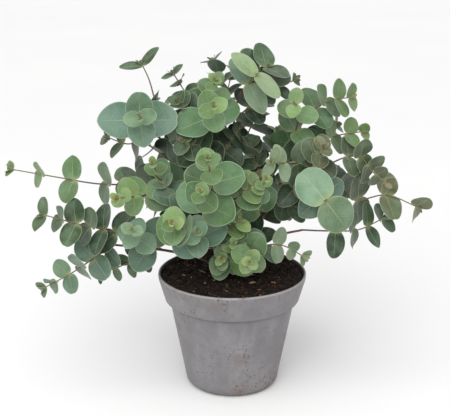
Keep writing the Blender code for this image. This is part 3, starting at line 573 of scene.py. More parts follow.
def near(other, place, reach):
    """Whether a search tree's box comes this near to a place."""
    return all(other[0][axis] - reach < place[axis] < other[1][axis] + reach for axis in range(3))


def wood_tree(bar):
    """The search tree of a stem or of a shoot's twig, with the clearance that leaves keep from it."""
    return tube_tree(bar["line"], bar["radii"], LEAF_GAP)


def over_pot(box):
    """Whether a search tree's box comes down on the pot or into it."""
    low, high, _ = box
    nearest = math.hypot(max(low.x, -high.x, 0.0), max(low.y, -high.y, 0.0))
    return low.z < POT_HEIGHT + LEAF_GAP and nearest < RIM_RADIUS + LEAF_GAP


def blade_axes(along, out, degrees):
    """Midrib and face of a blade that grows outwards, this far from its twig's direction."""
    angle = math.radians(degrees)
    return along * math.cos(angle) + out * math.sin(angle), along * math.sin(angle) - out * math.cos(angle)


def grown_pair(shoot, share, place, turn, chance, others):
    """The two leaves of a pair, turned and lifted until they are clear of all other pieces."""
    base, along, radius = at_share(shoot["line"], shoot["radii"], place)
    side = along.cross(Vector((0, 0, 1)))
    side = side.normalized() if side.length > 0.2 else Vector((1, 0, 0))
    fall, fade = (ROSETTE_FALL, ROSETTE_FADE) if is_rosette(shoot) else (SPRAY_FALL, SPRAY_FADE)
    growth = 1.0 - (1.0 - shoot["last"]) * share ** fall
    lift = OLD_LIFT - (OLD_LIFT - YOUNG_LIFT) * (1.0 - growth) + chance.uniform(-SWAY, SWAY)
    size = shoot["leaf"] * LEAF_SIZE * growth * chance.uniform(0.90, 1.05)
    droop = chance.uniform(-0.04, 0.10)
    facing = LIGHT_TURN * chance.uniform(0.5, 1.0) * (1 - fade * share)
    others = [other for other in others if near(other, base, NEAR * size)]
    light = Vector((LIGHT_ASIDE * base.x, LIGHT_DEPTH * base.y - LIGHT_FRONT, LIGHT_UP)).normalized()
    for shrink, more in product(TRY_SIZES, TRY_TURNS):
        pair = []
        for half in (0, 180):
            out = Matrix.Rotation(math.radians(turn + more + half), 3, along) @ side
            foot = base + along * (LEAF_STAGGER * half / 180)
            for lower in TRY_LIFTS:
                midrib, face = blade_axes(along, out, max(SWAY, lift + lower))
                lit = light - midrib * light.dot(midrib)
                face = face * (1 - facing) + lit.normalized() * facing
                leaf = {
                    "frame": leaf_frame(foot, midrib, face), "length": size * shrink,
                    "shape": shoot["shape"], "heel": LEAF_HEEL * radius, "droop": droop,
                    "share": share, "colour": shoot["colour"],
                }
                box = tree_of(leaf_work(leaf, LEAF_GAP))
                if not over_pot(box) and not any(meets(box, other) for other in others):
                    pair.append((leaf, box))
                    break
            else:
                break
        if len(pair) == 2:
            return pair
    return []


def is_rosette(shoot):
    """Whether a shoot crowds its pairs into a rosette at its tip; any other lays them out as a flat spray."""
    return shoot["crowd"] >= ROSETTE_CROWD


def pair_turn(shoot, number):
    """How far round the twig a pair stands, in degrees; 90 is the upright plane through the twig."""
    turn = (shoot["turn"] + 90 * number) % 180
    return turn if is_rosette(shoot) else 90 + (turn - 90) * SPRAY_SQUEEZE


def pair_place(shoot, share):
    """Where on the twig a pair sits; share runs from 0 for the first pair to 1 for the last."""
    return shoot["first"] + (LAST_PAIR - shoot["first"]) * (1 - (1 - share) ** shoot["crowd"])


def shoot_from(row, stems):
    """A shoot from its row of the table: its curve and radii, with no leaves yet."""
    name, stem, share, way, pairs, leaf, last, shape, first, crowd, turn, colour = row
    line = shoot_line(stems[stem], share, way)
    return {
        "name": name, "line": line, "radii": tapered(line, TWIG_RADIUS, TWIG_TIP_RADIUS), "pairs": pairs,
        "leaf": leaf, "last": last, "shape": shape, "first": first, "crowd": crowd, "turn": turn,
        "colour": colour, "stem": stem, "start": share, "way": way, "leaves": [],
    }


def grow_leaves(shoot, wood, foliage, chance):
    """Gives a shoot its leaves, clear of the wood and of the foliage, which they then join."""
    for number in range(shoot["pairs"]):
        share = number / (shoot["pairs"] - 1)
        turn = pair_turn(shoot, number) + chance.uniform(-12, 12)
        pair = grown_pair(shoot, share, pair_place(shoot, share), turn, chance, wood + foliage)
        shoot["leaves"] += [leaf for leaf, _ in pair]
        foliage += [box for _, box in pair]


def grow():
    """Every stem and shoot of the plant, with its curve, radii and leaves."""
    stems = {}
    for name, (foot, *way) in STEMS.items():
        line = stem_line(foot, way)
        stems[name] = {"line": line, "radii": tapered(line, STEM_RADIUS, STEM_END_RADIUS)}
    shoots = [shoot_from(row, stems) for row in SHOOTS]
    wood = [wood_tree(stem) for stem in stems.values()]
    twigs = {shoot["name"]: wood_tree(shoot) for shoot in shoots}
    foliage = []
    chance = random.Random(GROW_SEED)
    for shoot in shoots:
        others = wood + [tree for name, tree in twigs.items() if name != shoot["name"]]
        grow_leaves(shoot, others, foliage, chance)
    return stems, shoots


# ---------------------------------------------------------------- materials

class Nodes:
    """A short way to lay out one material's nodes; colour is what the coats have made so far."""

    def __init__(self, name, specular=0.5):
        self.material = bpy.data.materials.new(name)
        self.material.use_nodes = True
        self.tree = self.material.node_tree
        self.shader = self.tree.nodes["Principled BSDF"]
        self.put(specular, self.shader.inputs["Specular IOR Level"])
        self.place = self.node("ShaderNodeTexCoord").outputs["Object"]
        self.colour = None

    def put(self, value, socket):
        """Links or sets a socket; a colour of three numbers gets its alpha."""
        if isinstance(value, bpy.types.NodeSocket):
            self.tree.links.new(value, socket)
        elif isinstance(value, tuple) and len(socket.default_value) == 4:
            socket.default_value = (*value, 1.0)
        else:
            socket.default_value = value

    def node(self, kind, inputs=(), **settings):
        """A new node with its settings, and its inputs by name or number."""
        made = self.tree.nodes.new(kind)
        for key, value in settings.items():
            setattr(made, key, value)
        for key, value in dict(inputs).items():
            self.put(value, made.inputs[key])
        return made

    def attribute(self, name, output="Fac"):
        return self.node("ShaderNodeAttribute", attribute_name=name).outputs[output]

    def split(self, vector):
        return self.node("ShaderNodeSeparateXYZ", {0: vector}).outputs

    def maths(self, operation, *values):
        return self.node("ShaderNodeMath", enumerate(values), operation=operation).outputs[0]

    def times(self, product, *values):
        for value in values:
            product = self.maths("MULTIPLY", product, value)
        return product

    def band(self, value, low, high, first=0.0, last=1.0):
        """The value's way from low to high, as a smooth step from first to last."""
        inputs = enumerate((value, low, high, first, last))
        return self.node("ShaderNodeMapRange", inputs, interpolation_type="SMOOTHSTEP").outputs[0]

    def noise(self, scale, detail, rough=0.55, place=None):
        inputs = {"Vector": place or self.place, "Scale": scale, "Detail": detail, "Roughness": rough}
        return self.node("ShaderNodeTexNoise", inputs).outputs["Fac"]

    def spots(self, scale, core, edge):
        """A round spot in each cell, full up to its core and gone at its edge."""
        cells = self.node("ShaderNodeTexVoronoi", {"Vector": self.place, "Scale": scale})
        return self.band(cells.outputs["Distance"], core, edge, 1.0, 0.0)

    def stretched(self, scale):
        """Places for a texture that is drawn out where the scale is below 1."""
        return self.node("ShaderNodeMapping", {"Vector": self.place, "Scale": scale}).outputs["Vector"]

    def mix(self, share, one, two, blend="MIX"):
        inputs = {"Factor": share, "A": one, "B": two}
        return self.node("ShaderNodeMix", inputs, data_type="RGBA", blend_type=blend).outputs["Result"]

    def coat(self, share, tone):
        """Lays a tone over the colour so far, as strongly as the share says."""
        self.colour = self.mix(share, self.colour, tone)

    def shade(self, share, tone):
        """Multiplies the colour so far by a tone, as strongly as the share says."""
        self.coat(share, self.mix(1.0, self.colour, tone, "MULTIPLY"))

    def finish(self, roughness, height, strength, distance):
        """Puts colour, roughness and a bump from the height on the shader."""
        bump = self.node("ShaderNodeBump", {"Strength": strength, "Distance": distance, "Height": height})
        self.put(self.colour, self.shader.inputs["Base Color"])
        self.put(roughness, self.shader.inputs["Roughness"])
        self.put(bump.outputs["Normal"], self.shader.inputs["Normal"])
        return self.material


def leaf_material(name):
    """A waxy blade: midrib and side veins, mottled bloom, thin pale margin and paler underside."""
    n = Nodes(name)
    n.colour = n.attribute("tone", "Color")
    along, across, ring = n.split(n.attribute("blade", "Vector"))
    patch = n.noise(70.0, 4.0, 0.6)
    n.coat(n.band(patch, 0.32, 0.75, 0.0, 0.36), (0.24, 0.345, 0.245))
    n.shade(n.band(n.noise(38.0, 3.0), 0.46, 0.68, 0.0, 0.85), (0.62, 0.74, 0.60))
    n.shade(n.band(n.noise(330.0, 3.0, 0.65), 0.44, 0.66, 0.0, 0.60), (0.80, 0.86, 0.78))

    away = n.maths("ABSOLUTE", across)
    forward = n.maths("SUBTRACT", along, n.times(away, 0.40))
    wobble = n.times(n.noise(160.0, 1.0), 0.05)
    line = n.maths("PINGPONG", n.maths("ADD", forward, wobble), 0.055)
    side_vein = n.times(n.band(line, 0.0, 0.012, 1.0, 0.0), n.band(ring, 0.55, 0.95, 1.0, 0.0))
    width = n.maths("SUBTRACT", 0.050, n.times(along, 0.036))
    midrib = n.band(n.maths("DIVIDE", away, width), 0.35, 1.0, 1.0, 0.0)
    midrib = n.times(midrib, n.band(along, 0.70, 1.0, 1.0, 0.15))
    n.coat(n.times(side_vein, 0.24), (0.32, 0.40, 0.25))
    n.coat(n.times(midrib, 0.50), (0.38, 0.43, 0.24))

    heel = n.band(along, 0.02, 0.22, 0.45, 0.0)
    n.coat(heel, (0.30, 0.35, 0.14))
    margin = n.band(ring, 0.955, 0.985)
    n.coat(n.times(margin, 0.60), (0.43, 0.48, 0.33))
    scar = n.times(n.spots(260.0, 0.06, 0.11), n.band(n.noise(45.0, 2.0), 0.60, 0.66))
    n.coat(n.times(scar, 0.55), (0.13, 0.10, 0.05))
    n.coat(n.times(n.attribute("under"), 0.35), (0.20, 0.25, 0.19))

    relief = n.maths("ADD", n.times(n.noise(900.0, 2.0, 0.5), 0.25), n.times(side_vein, 0.4))
    relief = n.maths("SUBTRACT", relief, n.times(midrib, 0.8))
    for key, value in (
        ("Sheen Weight", 0.12), ("Sheen Roughness", 0.5), ("Subsurface Weight", 0.10),
        ("Subsurface Radius", (0.5, 1.0, 0.25)), ("Subsurface Scale", 0.0012),
    ):
        n.put(value, n.shader.inputs[key])
    return n.finish(n.band(patch, 0.3, 0.7, 0.40, 0.60), relief, 0.55, 0.0004)


def bark_material(name, old, young):
    """Thin young bark: brown at the foot, fresher towards the tip, with fine lengthwise streaks."""
    n = Nodes(name)
    n.colour = n.mix(n.band(n.attribute("along"), 0.15, 1.0), old, young)
    streak = n.noise(420.0, 4.0, 0.7, n.stretched((1.0, 1.0, 0.25)))
    n.coat(n.band(streak, 0.45, 0.70, 0.0, 0.55), (0.24, 0.19, 0.155))
    n.coat(n.band(n.noise(150.0, 3.0), 0.52, 0.66, 0.0, 0.6), (0.045, 0.028, 0.025))
    n.coat(n.times(n.attribute("knuckle"), 0.6), (0.33, 0.29, 0.17))
    return n.finish(n.band(streak, 0.3, 0.7, 0.55, 0.80), streak, 0.5, 0.0002)


def pot_material():
    """Moulded grey plastic: cloudy, with flow streaks, brown smudges, specks and a soiled rim, a painted
    highlight along the lip and painted shade under the ledge.
    """
    n = Nodes("moulded_grey_plastic")
    x, y, z = n.split(n.place)
    cloud = n.noise(24.0, 5.0, 0.65)
    n.colour = n.mix(n.band(cloud, 0.32, 0.68), (0.160, 0.152, 0.159), (0.226, 0.220, 0.230))
    flow = n.noise(60.0, 4.0, 0.65, n.stretched((1.0, 1.0, 0.15)))
    n.coat(n.band(flow, 0.46, 0.74, 0.0, 0.42), (0.262, 0.252, 0.256))
    n.coat(n.band(n.noise(210.0, 3.0, 0.6), 0.48, 0.72, 0.0, 0.28), (0.150, 0.140, 0.146))
    smear = n.times(n.band(n.noise(15.0, 5.0, 0.65), 0.50, 0.64),
                    n.band(n.noise(52.0, 4.0, 0.7), 0.42, 0.62))
    n.coat(n.times(smear, n.band(z, 0.095, 0.040, 0.45, 1.0), 0.50), (0.155, 0.105, 0.080))

    ledge_shade = n.times(n.band(z, LEDGE_HEIGHT - 0.0060, LEDGE_HEIGHT - 0.0005, 0.0, 0.45),
                          n.band(z, LEDGE_HEIGHT, LEDGE_HEIGHT + 0.0012, 1.0, 0.0))
    n.coat(ledge_shade, (0.085, 0.078, 0.080))
    # painted highlight: a lighter band along the top of the lip
    painted_lip_highlight = n.band(z, POT_HEIGHT - 0.0030, POT_HEIGHT - 0.0008, 0.0, 0.55)
    n.coat(painted_lip_highlight, (0.42, 0.40, 0.39))
    residue = n.times(n.band(z, POT_HEIGHT - 0.016, POT_HEIGHT - 0.001, 0.0, 0.9),
                      n.band(n.noise(24.0, 2.0), 0.46, 0.58), n.band(n.noise(130.0, 5.0, 0.7), 0.50, 0.60))
    n.coat(residue, (0.080, 0.045, 0.028))

    reach = n.maths("SQRT", n.maths("ADD", n.times(x, x), n.times(y, y)))
    lost = n.times(n.maths("SUBTRACT", POT_HEIGHT, z), COLLAR_TAPER / COLLAR_HEIGHT)
    upright = n.maths("ADD", reach, lost)  # the reach that a place on the collar would have at the rim
    inside = n.times(n.band(upright, RIM_RADIUS - 0.85 * LIP_WIDTH, RIM_RADIUS - 0.50 * LIP_WIDTH, 0.9, 0.0),
                     n.band(z, LEDGE_HEIGHT + 0.002, LEDGE_HEIGHT + 0.010))
    n.coat(inside, (0.034, 0.022, 0.015))

    soiled_foot = n.times(n.band(z, 0.010, 0.001, 0.0, 0.6), n.band(n.noise(90.0, 4.0), 0.40, 0.60))
    n.coat(soiled_foot, (0.085, 0.062, 0.048))
    speck = n.times(n.spots(300.0, 0.14, 0.30), n.band(n.noise(26.0, 4.0, 0.7), 0.52, 0.59))
    n.coat(n.times(speck, 0.88), (0.034, 0.022, 0.016))
    strewn = n.noise(27.0, 3.0, 0.6, n.stretched((1.0, 1.0, 1.3)))
    fleck = n.times(n.spots(190.0, 0.08, 0.19), n.band(strewn, 0.54, 0.61))
    n.coat(n.times(fleck, 0.65), (0.135, 0.070, 0.038))
    rough = n.maths("ADD", n.band(cloud, 0.3, 0.7, 0.44, 0.58), n.times(smear, 0.2))
    relief = n.maths("ADD", n.noise(700.0, 3.0), n.times(speck, 0.9))
    relief = n.maths("ADD", relief, n.times(cloud, 2.0))
    return n.finish(rough, relief, 0.28, 0.0002)


def compost_material(name):
    """Moist peat: almost black between the crumbs, brown on them."""
    n = Nodes(name, 0.3)
    n.colour = n.attribute("tone", "Color")
    fine = n.noise(520.0, 5.0, 0.7)
    n.coat(n.band(fine, 0.40, 0.74, 0.0, 0.60), (0.050, 0.026, 0.015))
    n.coat(n.band(n.noise(180.0, 4.0, 0.6), 0.44, 0.60, 0.0, 0.85), (0.005, 0.0035, 0.003))
    return n.finish(n.band(fine, 0.3, 0.7, 0.75, 0.95), fine, 0.9, 0.0008)


def chip_material(name):
    """Split bark: long grain in its own tone, with darker cracks."""
    n = Nodes(name)
    n.colour = n.attribute("tone", "Color")
    grain = n.noise(500.0, 4.0, 0.7, n.stretched((0.25, 1.0, 1.0)))
    n.shade(n.band(grain, 0.42, 0.66, 0.0, 0.8), (0.35, 0.28, 0.22))
    return n.finish(0.85, grain, 0.8, 0.0005)


def floor_material():
    n = Nodes("pale_floor", 0.2)
    n.colour = n.mix(n.band(n.noise(1.2, 2.0), 0.3, 0.7), (0.885, 0.885, 0.885), (0.905, 0.905, 0.90))
    return n.finish(0.75, n.noise(60.0, 2.0), 0.03, 0.0005)


# ---------------------------------------------------------------- meshes

def piece(name, points, faces, material, slot, stands_for=(), **attributes):
    """A piece of the object from points and faces, with one value, vector or colour per point."""
    mesh = bpy.data.meshes.new(name)
    mesh.from_pydata(np.asarray(points).tolist(), [], faces)
    for key, values in attributes.items():
        values = np.asarray(values, np.float32)
        if values.ndim == 1:
            kind, field = "FLOAT", "value"
        elif key == "blade":
            kind, field = "FLOAT_VECTOR", "vector"
        else:
            kind, field = "FLOAT_COLOR", "color"
            values = np.column_stack([values, np.ones(len(values), np.float32)])
        mesh.attributes.new(key, kind, "POINT").data.foreach_set(field, values.ravel())
    mesh.shade_smooth()
    mesh.materials.append(material)
    made = bpy.data.objects.new(name, mesh)
    bpy.context.scene.collection.objects.link(made)
    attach(made, "root")
    if stands_for:
        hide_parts(*stands_for)
    return made


class Shape:
    """Points, faces and per-point values that grow as parts are added."""

    def __init__(self):
        self.points, self.faces, self.values, self.count = [], [], {}, 0

    def add(self, points, faces, **values):
        """Adds a part; a value that isn't given per point holds for all of its points."""
        self.faces += [tuple(corner + self.count for corner in face) for face in faces]
        self.points.append(points)
        self.count += len(points)
        for key, value in values.items():
            value = np.asarray(value, float)
            if len(value) != len(points):
                value = np.tile(value, (len(points), 1))
            self.values.setdefault(key, []).append(value)

    def piece(self, name, material, slot, stands_for=()):
        values = {key: np.concatenate(parts) for key, parts in self.values.items()}
        return piece(name, np.concatenate(self.points), self.faces, material, slot, stands_for, **values)


def blade_faces():
    """One blade's faces: the upper skin, the under skin, and the rim between them."""
    last = len(BLADE_RINGS) - 1

    def at(side, ring, spoke):
        skin = side * (1 + len(BLADE_RINGS) * BLADE_SPOKES)
        return skin + (0 if ring < 0 else 1 + ring * BLADE_SPOKES + spoke % BLADE_SPOKES)

    faces = []
    for spoke in range(BLADE_SPOKES):
        after = spoke + 1
        skins = ((0, spoke, after), (1, after, spoke))
        faces += [(at(side, -1, 0), at(side, 0, a), at(side, 0, b)) for side, a, b in skins]
        for ring in range(last):
            faces += [
                (at(side, ring, a), at(side, ring + 1, a), at(side, ring + 1, b), at(side, ring, b))
                for side, a, b in skins
            ]
        faces.append((at(0, last, spoke), at(1, last, spoke), at(1, last, after), at(0, last, after)))
    return faces


def bump_at(turns, middle, width):
    """A smooth bump round this turn, for an array of turns."""
    off = np.angle(np.exp(1j * (turns - middle)))
    return np.exp(-(off / width) ** 2)


def blade_points(leaf, chance):
    """One blade's points and its per-point share along, place across and ring."""
    turns = 2 * np.pi * np.arange(BLADE_SPOKES) / BLADE_SPOKES
    length, width = leaf["length"], leaf["length"] * leaf["shape"]
    lobes = chance.uniform(0.01, 0.05)
    tip = chance.choice(BLADE_TIPS)
    out_x, out_y = -np.cos(turns), -np.sin(turns)
    x = (out_x + 1) / 2 * length
    x -= lobes * length * (bump_at(turns, 0.55, 0.35) + bump_at(turns, -0.55, 0.35))
    x += tip * length * bump_at(turns, math.pi, 0.20)
    y = out_y * width / 2 * (1 - LEAF_EGG * out_x)
    y *= 1 + chance.uniform(-0.04, 0.04) * np.sign(out_y)
    ripple = chance.uniform(0.0, 0.012) * np.sin(5 * turns + chance.uniform(0, 6.3))
    rings = np.array(BLADE_RINGS)[:, None]
    middle = BLADE_MIDDLE * length
    px = np.concatenate([[middle], (middle + rings * ((x - middle) * (1 + ripple))).ravel()])
    py = np.concatenate([[0.0], (rings * (y * (1 + ripple))).ravel()])
    ring = np.concatenate([[0.0], np.repeat(BLADE_RINGS, BLADE_SPOKES)])
    turn = np.concatenate([[0.0], np.tile(turns, len(BLADE_RINGS))])
    across = py / (width / 2)
    along = px / length
    pz = LEAF_CUP * width * across ** 2 - leaf["droop"] * length * along ** 2
    for height, crests in ((0.030, 3), (0.020, 2)):
        wave = chance.uniform(0.0, height) * length * ring ** 3
        pz += wave * np.sin(crests * turn + chance.uniform(0, 6.3))
    fold = chance.uniform(0.0, 0.10) * width
    pz += fold * (np.sqrt(across ** 2 + 0.02) - math.sqrt(0.02)) - fold * 0.3 * across ** 2
    pz -= chance.uniform(-0.02, 0.10) * length * np.clip(along - 0.65, 0, None) ** 2 * 4
    return np.stack([px, py, pz], 1), np.stack([along, across, ring], 1), ring


def skin_normals(points):
    """Normals of one skin of a blade, from its rings and spokes."""
    grid = points[1:].reshape(len(BLADE_RINGS), BLADE_SPOKES, 3)
    around = np.roll(grid, -1, 1) - np.roll(grid, 1, 1)
    inner = np.concatenate([np.broadcast_to(points[0], (1, BLADE_SPOKES, 3)), grid[:-1]])
    normal = np.cross(grid - inner, around)
    normal /= np.linalg.norm(normal, axis=2, keepdims=True)
    centre = normal[0].mean(0)
    return np.concatenate([[centre / np.linalg.norm(centre)], normal.reshape(-1, 3)])


def add_blade(shape, leaf, tone, chance):
    """A fine blade in a leaf's place."""
    points, blade, ring = blade_points(leaf, chance)
    half = BLADE_THICKNESS / 2 * leaf.get("thin", 1.0) * (1 - 0.5 * ring[:, None] ** 8)
    lift = skin_normals(points) * half
    turn = np.array(leaf["frame"])
    skins = np.concatenate([points + lift, points - lift]) @ turn[:3, :3].T + turn[:3, 3]
    under = np.repeat([0.0, 1.0], len(points))
    shape.add(skins, BLADE_FACES, tone=tone, blade=np.tile(blade, (2, 1)), under=under)


def mixed(one, two, share):
    return tuple(a + (b - a) * share for a, b in zip(one, two))


def leaf_tone(kind, share, shade, chance):
    """A blade's colour: younger towards the shoot's tip, and no two the same."""
    old, young = LEAF_TONES[kind]
    red, green, blue = mixed(old, young, share ** 1.4)
    level = shade * chance.uniform(0.68, 1.26)
    warm = chance.uniform(-0.05, 0.05)
    return red * level * (1 + warm), green * level, blue * level * (1 - 2 * warm)


def swept(line, radii, sides):
    """Points and faces of a round bar along a line."""
    line = [Vector(place) for place in line]
    points = []
    across = (line[1] - line[0]).orthogonal().normalized()
    for index, place in enumerate(line):
        before, after = line[max(index - 1, 0)], line[min(index + 1, len(line) - 1)]
        along = (after - before).normalized()
        across = (across - along * across.dot(along)).normalized()
        up = along.cross(across)
        for side in range(sides):
            turn = 2 * math.pi * side / sides
            points.append(place + (across * math.cos(turn) + up * math.sin(turn)) * radii[index])
    faces = []
    for ring in range(len(line) - 1):
        for side in range(sides):
            a, b = ring * sides + side, ring * sides + (side + 1) % sides
            faces.append((a, b, b + sides, a + sides))
    faces.append(tuple(range(sides))[::-1])
    faces.append(tuple(range(len(points) - sides, len(points))))
    return np.array(points), faces


def running_share(line):
    """Each point's share of the way along a line, and the line's length."""
    lengths = np.array([0.0] + [(b - a).length for a, b in zip(line, line[1:])])
    total = np.cumsum(lengths)
    return total / total[-1], total[-1]


def add_bar(shape, line, first, last, sides, knuckles=()):
    """A tapered bar with a knuckle at each pair of leaves."""
    shares, length = running_share(line)
    radii = first + (last - first) * shares
    swell = np.zeros(len(line))
    for place in knuckles:
        swell = np.maximum(swell, np.exp(-((shares - place) * length / KNUCKLE_LENGTH) ** 2))
    points, faces = swept(line, radii * (1 + KNUCKLE * swell), sides)
    shape.add(points, faces, along=np.repeat(shares, sides), knuckle=np.repeat(swell, sides))


# ---------------------------------------------------------------- the plant

def with_knuckle_points(line, places):
    """The line with more points round each pair, so that its knuckle is round."""
    shares, length = running_share(line)
    wanted = set(shares)
    for place in places:
        for step in KNUCKLE_STEPS:
            wanted.add(min(1.0, max(0.0, place + step * KNUCKLE_LENGTH / length)))
    first, *rest = sorted(wanted)
    kept = [first]
    for share in rest:
        if (share - kept[-1]) * length > KNUCKLE_LENGTH / 6:
            kept.append(share)
    flat = [0.0] * len(line)
    return [at_share(line, flat, share)[0] for share in kept]


def add_buds(blades, shoot, chance):
    """The folded young leaves at a shoot's tip: two pairs, one inside the other."""
    tip, along, _ = at_share(shoot["line"], shoot["radii"], 1.0)
    side = along.orthogonal().normalized()
    old, young = BUD_TONES[shoot["colour"]], LEAF_TONES[shoot["colour"]][1]
    turn = chance.uniform(0, 90)
    grown = 1.0 if is_rosette(shoot) else SPRAY_BUD
    for length, spread in BUDS:
        turn += 90
        for half in (0, 180):
            out = Matrix.Rotation(math.radians(turn + half), 3, along) @ side
            place = leaf_frame(tip - along * BUD_SINK, *blade_axes(along, out, spread))
            bud = {"frame": place, "length": length * grown, "shape": BUD_SHAPE, "droop": 0.0, "thin": 0.9}
            add_blade(blades, bud, mixed(old, young, chance.uniform(0.0, 0.5)), chance)


def make_shoot(shoot, stems, leaf_look, bark, stands_for):
    """A shoot's two pieces: its twig, which starts inside its stem, and its leaves with their buds."""
    chance = random.Random(shoot["name"])
    stem = stems[shoot["stem"]]
    joint = at_share(stem["line"][1:], stem["radii"][1:], shoot["start"])[0]
    places = [pair_place(shoot, number / (shoot["pairs"] - 1)) for number in range(shoot["pairs"])]
    line = shoot_line(stem, shoot["start"], shoot["way"], FINE_STEPS)
    line = [joint] + with_knuckle_points(line, places)
    twig = Shape()
    add_bar(twig, line, TWIG_RADIUS, TWIG_TIP_RADIUS, TWIG_SIDES, places)
    twig.piece(f"twig_{shoot['name']}", bark, "stem", stands_for)
    blades = Shape()
    shade = ROSETTE_SHADE if is_rosette(shoot) else SPRAY_SHADE
    for leaf in shoot["leaves"]:
        add_blade(blades, leaf, leaf_tone(leaf["colour"], leaf["share"], shade, chance), chance)
    add_buds(blades, shoot, chance)
    blades.piece(f"leaves_{shoot['name']}", leaf_look, f"leaf_{shoot['colour']}", stands_for)


def side_twig_row(stem, number, start, stems, chance):
    """A side twig in the form of a row of the shoots' table: out from its stem, up a little, and curved."""
    foot, along, _ = at_share(stems[stem]["line"][1:], stems[stem]["radii"][1:], start)
    turn = chance.uniform(0, 2 * math.pi)
    out = Matrix.Rotation(turn, 3, along) @ along.orthogonal().normalized()
    out = (out + along * chance.uniform(0.2, 0.9) + Vector((0, 0, chance.uniform(0.0, 0.5)))).normalized()
    reach = chance.uniform(*SIDE_TWIG_REACH)
    way = []
    for step in SIDE_TWIG_STEPS:
        place = foot + out * reach * step + Vector((0, 0, SIDE_TWIG_RISE * reach * step * step))
        way.append((place.x, place.y, place.z - POT_HEIGHT))
    return (f"side_{stem}_{number}", stem, start, tuple(way), chance.choice(SIDE_TWIG_PAIRS),
            chance.uniform(*SIDE_TWIG_LEAF), SIDE_TWIG_LAST, chance.uniform(*SIDE_TWIG_SHAPE),
            SIDE_TWIG_FIRST, SIDE_TWIG_CROWD, SIDE_TWIG_TURN, chance.choice(SIDE_TWIG_KINDS))


def clear_side_twig(stem, number, start, stems, others, chance):
    """A side twig and its search tree: inside the part's box, above the crown's foot, clear of the others."""
    low, high = cad_box
    for _ in range(SIDE_TWIG_TRIES):
        shoot = shoot_from(side_twig_row(stem, number, start, stems, chance), stems)
        line, tip = shoot["line"], shoot["line"][-1]
        twig = tube_tree(line[1:], shoot["radii"][1:], LEAF_GAP)
        inside = all(low[axis] + SIDE_TWIG_INSET < tip[axis] < high[axis] - SIDE_TWIG_INSET
                     for axis in range(3))
        foot = CROWN_FOOT + CROWN_SLOPE * max(0.0, math.hypot(tip.x, tip.y) - CROWN_REACH)
        above = tip.z > POT_HEIGHT + foot and min(place.z for place in line) > POT_HEIGHT + SIDE_TWIG_INSET
        if inside and above and not any(meets(twig, other) for other in others):
            return shoot, twig
    return None


def grow_side_twigs(stems, shoots):
    """The side twigs, each grown clear of every stem, twig and leaf that is there."""
    wood = [wood_tree(bar) for bar in (*stems.values(), *shoots)]
    foliage = [tree_of(leaf_work(leaf, LEAF_GAP)) for shoot in shoots for leaf in shoot["leaves"]]
    chance = random.Random(SIDE_TWIG_SEED)
    made = []
    for stem in STEMS:
        for number, start in enumerate(SIDE_TWIG_STARTS):
            found = clear_side_twig(stem, number, start, stems, wood + foliage, chance)
            if found:
                shoot, twig = found
                grow_leaves(shoot, wood, foliage, chance)
                wood.append(twig)
                made += [shoot] if shoot["leaves"] else []
    return made


def make_plant():
    stems, shoots = grow()
    side_twigs = grow_side_twigs(stems, shoots)
    looks = {kind: leaf_material(f"waxy_leaf_{kind}") for kind in LEAF_TONES}
    twig_bark = bark_material("twig_bark", (0.115, 0.066, 0.058), (0.185, 0.165, 0.085))
    stem_bark = bark_material("stem_bark", (0.085, 0.050, 0.036), (0.140, 0.088, 0.070))
    for name, (foot, *way) in STEMS.items():
        shape = Shape()
        add_bar(shape, stem_line(foot, way, FINE_STEPS), STEM_RADIUS * 1.1, STEM_END_RADIUS, STEM_SIDES)
        shape.piece(f"bark_{name}", stem_bark, "stem", (f"stem_{name}",))
    for shoot in shoots:
        make_shoot(shoot, stems, looks[shoot["colour"]], twig_bark, (f"shoot_{shoot['name']}",))
    for shoot in side_twigs:
        make_shoot(shoot, stems, looks[shoot["colour"]], twig_bark, ())


# ---------------------------------------------------------------- pot and compost

def turned_shape(profile, spokes):
    """Points and faces of a solid of revolution, from an outline that starts and ends on the axis."""
    points = [(0.0, 0.0, profile[0][1])]
    for radius, height in profile[1:-1]:
        for spoke in range(spokes):
            turn = 2 * math.pi * spoke / spokes
            points.append((radius * math.cos(turn), radius * math.sin(turn), height))
    points.append((0.0, 0.0, profile[-1][1]))
    faces = []
    rings = len(profile) - 2
    for spoke in range(spokes):
        after = (spoke + 1) % spokes
        faces.append((0, 1 + spoke, 1 + after))
        for ring in range(rings - 1):
            a, b = 1 + ring * spokes + spoke, 1 + ring * spokes + after
            faces.append((a, a + spokes, b + spokes, b))
        last = 1 + (rings - 1) * spokes
        faces.append((last + spoke, len(points) - 1, last + after))
    return np.array(points), faces


def rounded(profile, size, steps=4):
    """The outline with each sharp corner between its ends rounded."""
    made = [profile[0]]
    for before, corner, after in zip(profile, profile[1:], profile[2:]):
        here = Vector(corner)
        back, on = Vector(before) - here, Vector(after) - here
        if (-back).angle(on, 0.0) < SLIGHT_BEND:
            made.append(corner)
            continue
        reach = min(size, back.length * 0.45, on.length * 0.45)
        start, end = here + back.normalized() * reach, here + on.normalized() * reach
        for step in range(steps + 1):
            t = step / steps
            point = start * (1 - t) ** 2 + here * 2 * t * (1 - t) + end * t * t
            made.append((point.x, point.y))
    return made + [profile[-1]]


